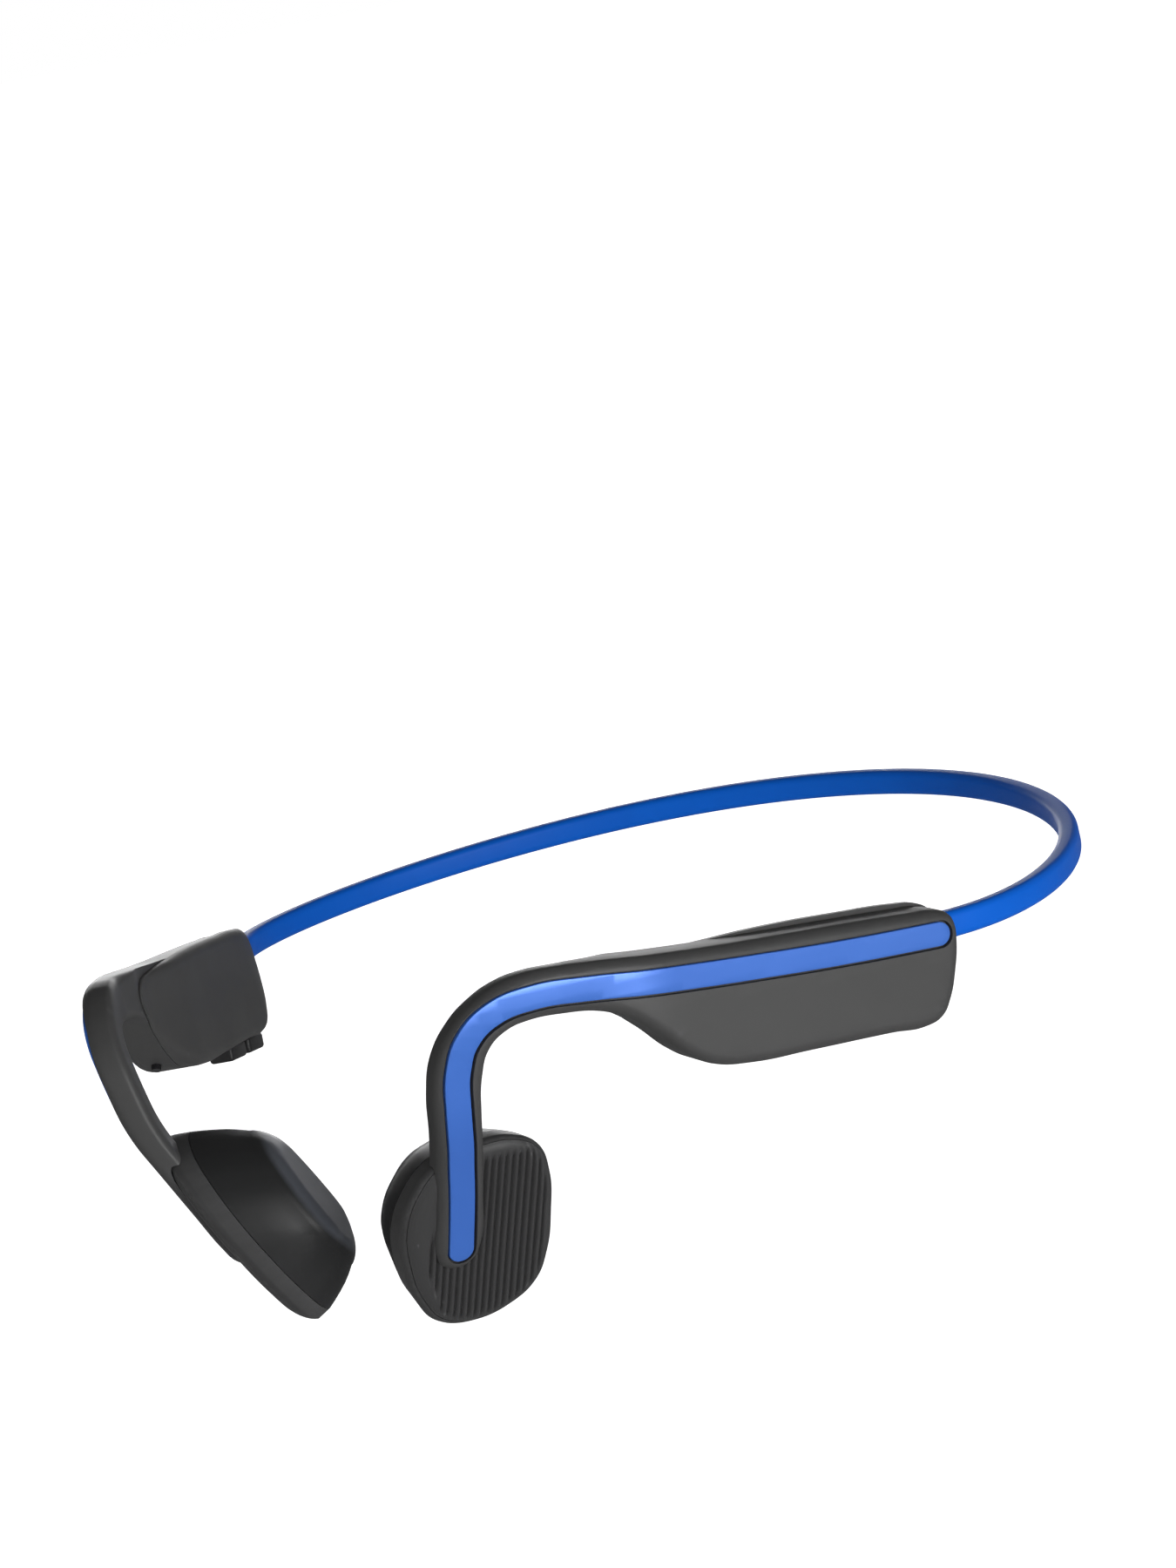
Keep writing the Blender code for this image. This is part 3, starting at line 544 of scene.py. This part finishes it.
def arm_shell(side):
    rim = [(inset - SEAM, y + SEAM / 2) for inset, y in rounding(POD_EDGE, RIM, 1, steps=9)]
    pod_room = loft(smooth_path(POD_OUTLINE), [(-SEAM, -20)], rim)
    tools = [prism(CAVITY_OUTLINE, INNER, CAVITY_OUTER), groove(), pod_room, band_socket(), wire_way()]
    if side < 0:
        tools += [port_block(SEAM, PORT_CUT_ARM), light_room(), *key_rooms()]
        tools.append(tilted(box_mesh(PORT_ROOM_SIZE, (0, 0, PORT_ROOM_RAISE)), PORT_CENTRE))
    return bent(cut(arm_solid(), *tools), "arm")


def inner_cover(side):
    whole = loft(smooth_path(COVER_OUTLINE), rounding(EDGE_COVER, INNER, -1), [(0, SPLIT - SEAM / 2)])
    shaped = bent(cut(whole, prism(CAVITY_OUTLINE, CAVITY_INNER, OUTER)), "cover")
    tools = [band_socket(), wire_way()]
    if side < 0:
        tools += [port_block(SEAM, PORT_CUT_COVER), *key_rooms()]
    return cut(shaped, *tools)


def inlay():
    rings = rounding(EDGE_STRIP, OUTER - STRIP_SUNK, 1, steps=3)
    return bent(loft(ribbon_outline(STRIP_WIDTH), [(0, OUTER - STRIP_DEPTH)], rings))


def pod_outer_half():
    return loft(smooth_path(POD_OUTLINE), [(0, POD_SPLIT)], rounding(POD_EDGE, RIM, 1, steps=9))


def pod_cup():
    inset = PLATE_SEAM_INSET - SEAM / 2
    recess = loft(smooth_path(POD_OUTLINE), [(inset, PLATE_FACE - PLATE_THICK - PLATE_ROOM)],
                  [(inset, 2 * RIM)])
    opening = box_mesh(POD_OPENING, (POD_CENTRE[0], 0, POD_CENTRE[1]))
    return bent(cut(pod_outer_half(), recess, opening), "pod")


def edge_distance(path, x, z):
    return min((point.x - x) ** 2 + (point.y - z) ** 2 for point in path) ** 0.5


def rib_strength(path, x, z):
    """How deep the ribs are here: they fade at the edge, and in front of the arm they are long points."""
    reach = smooth_step(edge_distance(path, x, z), *RIB_EDGE_FADE)
    top = smooth_step(RIB_TOP - z, 0, RIB_TOP_FADE)
    if x < RIB_FRONT:
        return reach * top
    half = POINTS_HALF - POINTS_TAPER * (x - RIB_FRONT)
    return reach * smooth_step(half - abs(z - POINTS_CENTRE), 0, POINTS_FADE) if x < POINTS_END else 0.0


def ribbed_plate():
    """The pod's outer plate, with upright ribs that fade out towards its edge."""
    path = smooth_path(POD_OUTLINE)
    whole = boolean(pod_outer_half(), loft(path, [(PLATE_SEAM_INSET, PLATE_FACE - PLATE_THICK)],
                                           [(PLATE_SEAM_INSET, 2 * RIM)]), "INTERSECT")
    sliced(whole, RIB_PITCH / 8, 0.7)
    for vertex in whole.vertices:
        x, y, z = vertex.co
        if y > PLATE_FACE - PLATE_THICK + 0.05:
            wave = 0.5 - 0.5 * math.cos(2 * math.pi * (x - POD_CENTRE[0]) / RIB_PITCH)
            y -= RIB_DEPTH * (1 - wave ** RIB_SHARPNESS) * rib_strength(path, x, z)
        vertex.co = (x, y + bend(x, z), z)
    return whole


def pod_cap():
    """The pod's inner half: its wall leans in, then turns over a soft ridge into the contact face."""
    wall = [(0.0, POD_SPLIT - SEAM), (0.08, -2.0), (0.22, -3.5), (0.42, -5.0), (0.7, -6.3),
            (CAP_LEAN, CONTACT + CAP_RIDGE)]
    face = [(CAP_LEAN + CAP_RIDGE * (1 - math.cos(a)), CONTACT + CAP_RIDGE * (1 - math.sin(a)))
            for a in (math.pi / 2 * k / 10 for k in range(1, 11))]
    rings = (wall + face)[::-1]
    whole = loft(smooth_path(POD_OUTLINE), rings, [])
    room = loft(smooth_path(POD_OUTLINE), [(CAP_ROOM_INSETS[0], CONTACT + CAP_FLOOR)],
                [(CAP_ROOM_INSETS[1], RIM)])
    return bent(cut(whole, room), "pod")


# Neckband

def band_point(side, t):
    """A place on the neckband's centre line: t = 0 where it enters the housing, 1 at the rear."""
    along = Vector((side * math.sin(TOE_IN) * math.cos(PITCH), math.cos(TOE_IN) * math.cos(PITCH),
                    -math.sin(PITCH)))
    start = Vector((side * EXIT.x, EXIT.y, EXIT.z))
    rear = Vector((0, EXIT.y + BAND_DEPTH, EXIT.z))
    first = start + along * BAND_REACH_EXIT
    second = rear + Vector((side * BAND_REACH_REAR, 0, 0))
    s = 1 - t
    return s ** 3 * start + 3 * s * s * t * first + 3 * s * t * t * second + t ** 3 * rear


def band_centre_line(inside, steps=70):
    """The whole neckband's centre line, from inside the left housing to inside the right one."""
    half = {}
    for side in (1, -1):
        forward = (arm_matrix(side).to_3x3() @ Vector((1, 0, 0))).normalized()
        start = band_point(side, 0)
        half[side] = [start + forward * inside, start + forward * inside / 2]
        half[side] += [band_point(side, k / steps) for k in range(steps)]
    return half[1] + [band_point(1, 1)] + half[-1][::-1]


def swept(points, section, lift=0.0):
    """A solid with this cross-section, (across, up), along the points; capped at both ends."""
    work = bmesh.new()
    loops = []
    for index, point in enumerate(points):
        ahead = points[min(index + 1, len(points) - 1)] - points[max(index - 1, 0)]
        across = ahead.cross(Vector((0, 0, 1))).normalized()
        up = across.cross(ahead).normalized()
        loops.append([work.verts.new(point + across * a + up * (b + lift)) for a, b in section])
    return closed_skin(work, loops, "swept")


def rounded_section(wide, tall, radius, steps=6):
    section = []
    for cx, cy, turn in ((1, 1, 0), (-1, 1, 90), (-1, -1, 180), (1, -1, 270)):
        for step in range(steps + 1):
            angle = math.radians(turn + 90 * step / steps)
            section.append((cx * (wide / 2 - radius) + radius * math.cos(angle),
                            cy * (tall / 2 - radius) + radius * math.sin(angle)))
    return section


def neckband():
    """The sleeve with its spring wire and signal cable, each one piece that runs from one side to the other.
    """
    bore = (BAND_THICK - 2 * BAND_WALL, BAND_HEIGHT - 2 * BAND_WALL)
    parts = [
        ("band_sleeve", rounded_section(BAND_THICK, BAND_HEIGHT, BAND_ROUND), BAND_START, 0.0,
         SILICONE_BLUE, "blue_silicone"),
        ("spring_wire", rounded_section(WIRE_DIAMETER, WIRE_DIAMETER, WIRE_DIAMETER / 2), WIRE_END,
         WIRE_OFFSET, TITANIUM, "titanium"),
        ("signal_cable", rounded_section(CABLE_DIAMETER, CABLE_DIAMETER, CABLE_DIAMETER / 2), WIRE_END,
         -WIRE_OFFSET, CABLE_JACKET, "cable_jacket"),
    ]
    for name, section, inside, lift, look, slot in parts:
        mesh = swept(band_centre_line(inside), section, lift)
        if name == "band_sleeve":
            mesh = boolean(mesh, swept(band_centre_line(inside + 1), rounded_section(*bore, BORE_ROUND)))
        mesh.transform(Matrix.Scale(MM, 4))
        obj = piece("whole_" + name, mesh, None, look, slot, "left_" + name, "right_" + name)
        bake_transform(obj)


# Materials

def new_material(name, colour, roughness, metallic=0.0):
    made = bpy.data.materials.new(name)
    made.use_nodes = True
    shader = made.node_tree.nodes["Principled BSDF"]
    shader.inputs["Base Color"].default_value = (*colour, 1)
    shader.inputs["Roughness"].default_value = roughness
    shader.inputs["Metallic"].default_value = metallic
    return made, made.node_tree, shader


def noise(tree, scale, detail=3.0, rough=0.55, stretch=None):
    place = tree.nodes.new("ShaderNodeTexCoord")
    source = place.outputs["Object"]
    if stretch:
        mapping = tree.nodes.new("ShaderNodeMapping")
        mapping.inputs["Scale"].default_value = stretch
        tree.links.new(source, mapping.inputs["Vector"])
        source = mapping.outputs["Vector"]
    texture = tree.nodes.new("ShaderNodeTexNoise")
    texture.inputs["Scale"].default_value = scale
    texture.inputs["Detail"].default_value = detail
    texture.inputs["Roughness"].default_value = rough
    tree.links.new(source, texture.inputs["Vector"])
    return texture.outputs["Fac"]


def spread(tree, factor, low, high):
    """A value that runs from low to high as the factor goes over its middle half."""
    ramp = tree.nodes.new("ShaderNodeMapRange")
    ramp.inputs["From Min"].default_value = 0.3
    ramp.inputs["From Max"].default_value = 0.7
    ramp.inputs["To Min"].default_value = low
    ramp.inputs["To Max"].default_value = high
    tree.links.new(factor, ramp.inputs["Value"])
    return ramp.outputs["Result"]


def mixed(tree, factor, first, second):
    mix = tree.nodes.new("ShaderNodeMix")
    mix.data_type = "RGBA"
    tree.links.new(factor, mix.inputs["Factor"])
    for socket, value in ((mix.inputs[6], first), (mix.inputs[7], second)):
        if isinstance(value, tuple):
            socket.default_value = (*value, 1)
        else:
            tree.links.new(value, socket)
    return mix.outputs[2]


def add_bump(tree, shader, height, strength, distance):
    bump = tree.nodes.new("ShaderNodeBump")
    bump.inputs["Strength"].default_value = strength
    bump.inputs["Distance"].default_value = distance
    tree.links.new(height, bump.inputs["Height"])
    tree.links.new(bump.outputs["Normal"], shader.inputs["Normal"])


def edges_worn_and_painted_lit(tree, base, wear_and_painted_highlight, low=0.52, high=0.62):
    """The base colour, lighter where the surface turns over a convex edge: partly edge wear, partly a
    painted highlight.
    """
    geometry = tree.nodes.new("ShaderNodeNewGeometry")
    reach = tree.nodes.new("ShaderNodeMapRange")
    reach.inputs["From Min"].default_value = low
    reach.inputs["From Max"].default_value = high
    tree.links.new(geometry.outputs["Pointiness"], reach.inputs["Value"])
    return mixed(tree, reach.outputs["Result"], base, wear_and_painted_highlight)


def soft_touch(name, colour, roughness=0.5, grain=0.12, wear_and_painted_highlight=None):
    """Moulded plastic with a soft-touch coat: a very fine grain and slightly uneven gloss."""
    made, tree, shader = new_material(name, colour, roughness)
    fine = noise(tree, 5200, detail=2.0)
    broad = noise(tree, 60, detail=3.0)
    darker = tuple(value * 0.93 for value in colour)
    shade = mixed(tree, spread(tree, broad, 0, 1), colour, darker)
    # convex edges are painted lighter here: partly wear, partly painted highlight
    if wear_and_painted_highlight:
        shade = edges_worn_and_painted_lit(tree, shade, wear_and_painted_highlight)
    tree.links.new(shade, shader.inputs["Base Color"])
    tree.links.new(spread(tree, broad, roughness - 0.04, roughness + 0.05), shader.inputs["Roughness"])
    add_bump(tree, shader, fine, grain, GRAIN_DEPTH)
    shader.inputs["Specular IOR Level"].default_value = 0.42
    return made


def skin_with_painted_face_light(name, wall, face):
    """The pod's soft skin, dark on its wall; the flat face that rests on the cheek is painted lighter and
    bluish, a painted highlight of the light that falls on it.
    """
    made, tree, shader = new_material(name, wall, 0.5)
    place = tree.nodes.new("ShaderNodeTexCoord")
    mirrored = tree.nodes.new("ShaderNodeVectorMath")
    mirrored.operation = "ABSOLUTE"
    tree.links.new(place.outputs["Object"], mirrored.inputs[0])
    axes = tree.nodes.new("ShaderNodeSeparateXYZ")
    tree.links.new(place.outputs["Object"], axes.inputs["Vector"])
    halves = tree.nodes.new("ShaderNodeSeparateXYZ")
    tree.links.new(mirrored.outputs["Vector"], halves.inputs["Vector"])
    folded = tree.nodes.new("ShaderNodeCombineXYZ")
    tree.links.new(halves.outputs["X"], folded.inputs["X"])
    tree.links.new(axes.outputs["Y"], folded.inputs["Y"])
    tree.links.new(axes.outputs["Z"], folded.inputs["Z"])
    depth = tree.nodes.new("ShaderNodeVectorMath")
    depth.operation = "DOT_PRODUCT"
    depth.inputs[1].default_value = CONTACT_NORMAL
    tree.links.new(folded.outputs["Vector"], depth.inputs[0])
    reach = tree.nodes.new("ShaderNodeMapRange")
    reach.inputs["From Min"].default_value = CONTACT_DEPTH + PAINTED_FACE_LIGHT_EDGE[0]
    reach.inputs["From Max"].default_value = CONTACT_DEPTH + PAINTED_FACE_LIGHT_EDGE[1]
    tree.links.new(depth.outputs["Value"], reach.inputs["Value"])
    tree.links.new(mixed(tree, reach.outputs["Result"], wall, face), shader.inputs["Base Color"])
    broad = noise(tree, 60, detail=3.0)
    tree.links.new(spread(tree, broad, 0.44, 0.54), shader.inputs["Roughness"])
    add_bump(tree, shader, noise(tree, 5200, detail=2.0), 0.12, GRAIN_DEPTH)
    shader.inputs["Specular IOR Level"].default_value = 0.42
    return made


def satin_paint(name, colour, deep):
    """Satin lacquer with a faint metal flake under a thin clear coat."""
    made, tree, shader = new_material(name, colour, 0.36, 0.25)
    flake = noise(tree, 9000, detail=1.0)
    broad = noise(tree, 45, detail=2.0)
    tree.links.new(mixed(tree, spread(tree, broad, 0, 0.6), colour, deep), shader.inputs["Base Color"])
    tree.links.new(spread(tree, flake, 0.33, 0.4), shader.inputs["Roughness"])
    add_bump(tree, shader, flake, 0.05, FLAKE_DEPTH)
    shader.inputs["Coat Weight"].default_value = 0.25
    shader.inputs["Coat Roughness"].default_value = 0.3
    return made


def silicone(name, colour, deep, roughness=0.48):
    made, tree, shader = new_material(name, colour, roughness)
    fine = noise(tree, 3000, detail=3.0)
    broad = noise(tree, 70, detail=2.0)
    tree.links.new(mixed(tree, spread(tree, broad, 0, 1), colour, deep), shader.inputs["Base Color"])
    tree.links.new(spread(tree, fine, roughness - 0.03, roughness + 0.04), shader.inputs["Roughness"])
    add_bump(tree, shader, fine, 0.08, GRAIN_DEPTH)
    shader.inputs["Specular IOR Level"].default_value = 0.18
    return made


def metal(name, colour, roughness, stretch=(1, 1, 12)):
    made, tree, shader = new_material(name, colour, roughness, 1.0)
    lines = noise(tree, 900, detail=2.0, stretch=stretch)
    tree.links.new(spread(tree, lines, roughness - 0.06, roughness + 0.08), shader.inputs["Roughness"])
    tree.links.new(mixed(tree, spread(tree, lines, 0, 0.5), colour, tuple(v * 0.8 for v in colour)),
                   shader.inputs["Base Color"])
    add_bump(tree, shader, lines, 0.05, FLAKE_DEPTH)
    return made


# the last colour of each soft-touch look is its edge colour: partly wear, partly painted highlight
CHARCOAL = soft_touch("soft_touch_charcoal", (0.068, 0.068, 0.068), 0.52, wear_and_painted_highlight=(0.075, 0.075, 0.076))
RIBBED = soft_touch("ribbed_charcoal", (0.050, 0.050, 0.051), 0.5, wear_and_painted_highlight=(0.085, 0.085, 0.086))
# the second colour is painted light on the contact face, not the skin's own colour
POD_BLACK = skin_with_painted_face_light("pod_black", (0.017, 0.0173, 0.018), (0.085, 0.092, 0.108))
SATIN_BLUE = satin_paint("satin_blue", (0.062, 0.205, 0.74), (0.05, 0.175, 0.68))
SILICONE_BLUE = silicone("blue_silicone", (0.002, 0.145, 0.76), (0.002, 0.13, 0.70))
CABLE_JACKET = silicone("cable_jacket", (0.05, 0.05, 0.05), (0.04, 0.04, 0.04))
KEY_BLACK = soft_touch("key_black", (0.012, 0.012, 0.013), 0.45, wear_and_painted_highlight=(0.03, 0.03, 0.032))
TITANIUM = metal("titanium", (0.42, 0.42, 0.44), 0.35)
NODE_LOOKS = {
    "steel": metal("steel", (0.6, 0.6, 0.62), 0.3),
    "titanium": TITANIUM,
    "copper": metal("copper", (0.72, 0.36, 0.18), 0.35, stretch=(1, 1, 30)),
    "foil": metal("foil", (0.66, 0.67, 0.70), 0.35, stretch=(3, 3, 3)),
    "circuit_board": satin_paint("circuit_board", (0.02, 0.16, 0.06), (0.015, 0.12, 0.05)),
    "inner_black": soft_touch("inner_black", (0.012, 0.012, 0.013), 0.5),
    # the clear light pipe is coloured near black: painted shade of the hole it sits in
    "clear_plastic": satin_paint("clear_plastic", (0.012, 0.012, 0.014), (0.009, 0.009, 0.011)),
}


def dress_nodes():
    """Gives each CAD node that still shows the look of its material slot."""
    slots = {row["node"]: row["material_slot"] for row in frame["record"]["subparts"]}
    for name, node in frame["nodes"].items():
        if node.hide_render:
            continue
        for index in range(max(len(node.material_slots), 1)):
            if not node.material_slots:
                node.data.materials.append(None)
            node.material_slots[index].material = NODE_LOOKS[slots[name]]


# Putting it together

def build_arm(label, side):
    body = label + "_side"
    plate_node = "multifunction_button" if side > 0 else "ribbed_cap"
    plate_body = "button" if side > 0 else body
    shells = [
        ("arm_shell", arm_shell(side), CHARCOAL, "soft_touch_charcoal"),
        ("inlay_strip", inlay(), SATIN_BLUE, "satin_blue"),
        ("housing_cover", inner_cover(side), CHARCOAL, "soft_touch_charcoal"),
        ("pod_cup", pod_cup(), RIBBED, "soft_touch_charcoal"),
        ("pod_cap", pod_cap(), POD_BLACK, "pod_black"),
    ]
    for name, mesh, look, slot in shells:
        arm_piece(f"{label}_{name}_fine", mesh, side, body, look, slot, f"{label}_{name}")
    arm_piece(plate_node + "_fine", ribbed_plate(), side, plate_body, RIBBED, "ribbed_charcoal", plate_node)


def volume_keys():
    for name, centre in KEY_CENTRES.items():
        mesh = box_mesh(KEY_SIZE)
        obj = temporary(mesh)
        edge = obj.modifiers.new("edge", "BEVEL")
        edge.width = EDGE_KEY
        edge.segments = 4
        mesh = evaluated_mesh(obj)
        drop(obj)
        for k in (-1, 1):
            tool = rod_mesh(KEY_GROOVE_RADIUS, 12, sides=20)
            tool.transform(Matrix.Rotation(math.pi / 2, 4, "X"))
            tool.transform(Matrix.Translation((k * KEY_GROOVE_PLACE, 0, -KEY_SIZE[2] / 2)))
            mesh = boolean(mesh, tool)
        tilted(mesh, centre)
        arm_piece(name + "_fine", mesh, -1, name.replace("_key", ""), KEY_BLACK, "key_black", name)


def port_cover():
    """The flush flap over the charging port, cut from the same solid as the housing around it."""
    above = tilted(box_mesh((40, 20, 20), (0, 0, 10 + FLAP_TOP)), PORT_CENTRE)
    flap = boolean(arm_solid(), port_block(0, PORT_CUT_ARM), "INTERSECT")
    knuckle = rod_mesh(PORT_COVER_SIZE[0] / 2 - PORT_AXIS_FORWARD, 12)
    knuckle.transform(Matrix.Translation((PORT_AXIS_FORWARD, 0, 0)) @ Matrix.Rotation(math.pi / 2, 4, "X"))
    corner = boolean(box_mesh((2, 10, 4), (PORT_AXIS_FORWARD + 1, 0, 0)), knuckle)
    flap = cut(flap, above, tilted(corner, PORT_CENTRE))
    arm_piece("port_cover_fine", bent(flap, "arm"), -1, "port_flap", POD_BLACK, "black_rubber", "port_cover")


for label, side in (("left", 1), ("right", -1)):
    build_arm(label, side)
volume_keys()
port_cover()
neckband()
dress_nodes()


# Floor, light and camera

SKY_OVERHEAD = 0.10                   # how strongly the sky lights the object from above
SKY_BELOW = 0.34                      # and from below; level with the object it is in between
SKY_RANGE = (-0.6, 0.9)               # from above to below, as the Z of the way back from the sky
FLOOR_SIZE = 8
FLOOR_GAP = 0.06
LIGHTS = [                            # name, size and place in metres, watts
    ("key", 0.60, (0.97, -0.52, 0.02), 12.5),
    ("fill", 0.40, (-0.30, -0.80, -0.05), 0.8),
    ("back", 0.60, (-0.75, 0.80, -0.10), 9.0),
]
CAMERA_TURN = (math.radians(40.0), math.radians(12.03), math.radians(-13.48))
CAMERA_DISTANCE = 600
CAMERA_ASIDE = 1.156                  # how far the camera is moved across and up
CAMERA_ABOVE = 19.27
CAMERA_LENS = 108


def studio():
    """A floor and a sky that the camera sees as white, and three soft lights."""
    bpy.ops.mesh.primitive_plane_add(size=FLOOR_SIZE, location=(0, 0, CAD_BOX[0].z - FLOOR_GAP))
    floor = bpy.context.object
    floor.name = "floor"
    paint, paint_tree, paint_shader = new_material("floor_white", (0.95, 0.95, 0.95), 0.9)
    seen = paint_tree.nodes.new("ShaderNodeLightPath")
    paint_shader.inputs["Emission Color"].default_value = (1, 1, 1, 1)
    paint_tree.links.new(seen.outputs["Is Camera Ray"], paint_shader.inputs["Emission Strength"])
    floor.data.materials.append(paint)

    world = bpy.data.worlds.new("studio")
    world.use_nodes = True
    bpy.context.scene.world = world
    tree = world.node_tree
    background = tree.nodes["Background"]
    background.inputs["Color"].default_value = (1, 1, 1, 1)
    rays = tree.nodes.new("ShaderNodeLightPath")
    place = tree.nodes.new("ShaderNodeNewGeometry")
    height = tree.nodes.new("ShaderNodeSeparateXYZ")
    tree.links.new(place.outputs["Incoming"], height.inputs["Vector"])   # from the sky to the object
    glow = tree.nodes.new("ShaderNodeMapRange")
    glow.inputs["From Min"].default_value = SKY_RANGE[0]
    glow.inputs["From Max"].default_value = SKY_RANGE[1]
    glow.inputs["To Min"].default_value = SKY_OVERHEAD
    glow.inputs["To Max"].default_value = SKY_BELOW
    tree.links.new(height.outputs["Z"], glow.inputs["Value"])
    strength = tree.nodes.new("ShaderNodeMix")
    tree.links.new(rays.outputs["Is Camera Ray"], strength.inputs["Factor"])
    tree.links.new(glow.outputs["Result"], strength.inputs["A"])
    strength.inputs["B"].default_value = 1.0
    tree.links.new(strength.outputs["Result"], background.inputs["Strength"])
    for light in LIGHTS:
        area_light(*light)


def area_light(name, size, place, power):
    """A soft square light that looks at the middle of the object."""
    target = (CAD_BOX[0] + CAD_BOX[1]) / 2
    data = bpy.data.lights.new(name, "AREA")
    data.size = size
    data.energy = power
    obj = bpy.data.objects.new(name, data)
    bpy.context.scene.collection.objects.link(obj)
    obj.location = target + Vector(place)
    obj.rotation_euler = (target - obj.location).to_track_quat("-Z", "Y").to_euler()


def camera():
    """The view from the front left of the wearer, slightly above."""
    azimuth, elevation, roll = CAMERA_TURN
    back = Vector((math.sin(azimuth) * math.cos(elevation), -math.cos(azimuth) * math.cos(elevation),
                   math.sin(elevation)))
    level = Vector((math.cos(azimuth), math.sin(azimuth), 0))
    upright = back.cross(level)
    right = level * math.cos(roll) + upright * math.sin(roll)
    up = upright * math.cos(roll) - level * math.sin(roll)
    data = bpy.data.cameras.new("camera")
    data.sensor_width = 36
    data.lens = CAMERA_LENS
    data.clip_start = 0.01
    data.clip_end = 20
    obj = bpy.data.objects.new("camera", data)
    bpy.context.scene.collection.objects.link(obj)
    aim = Vector((0, EXIT.y, EXIT.z))
    place = (back * CAMERA_DISTANCE + right * CAMERA_ASIDE + up * CAMERA_ABOVE + aim) * MM
    turn = Matrix((right, up, back)).transposed().to_4x4()
    obj.matrix_world = Matrix.Translation(place) @ turn
    bpy.context.scene.camera = obj


studio()
camera()
bpy.context.scene.view_settings.view_transform = "Standard"
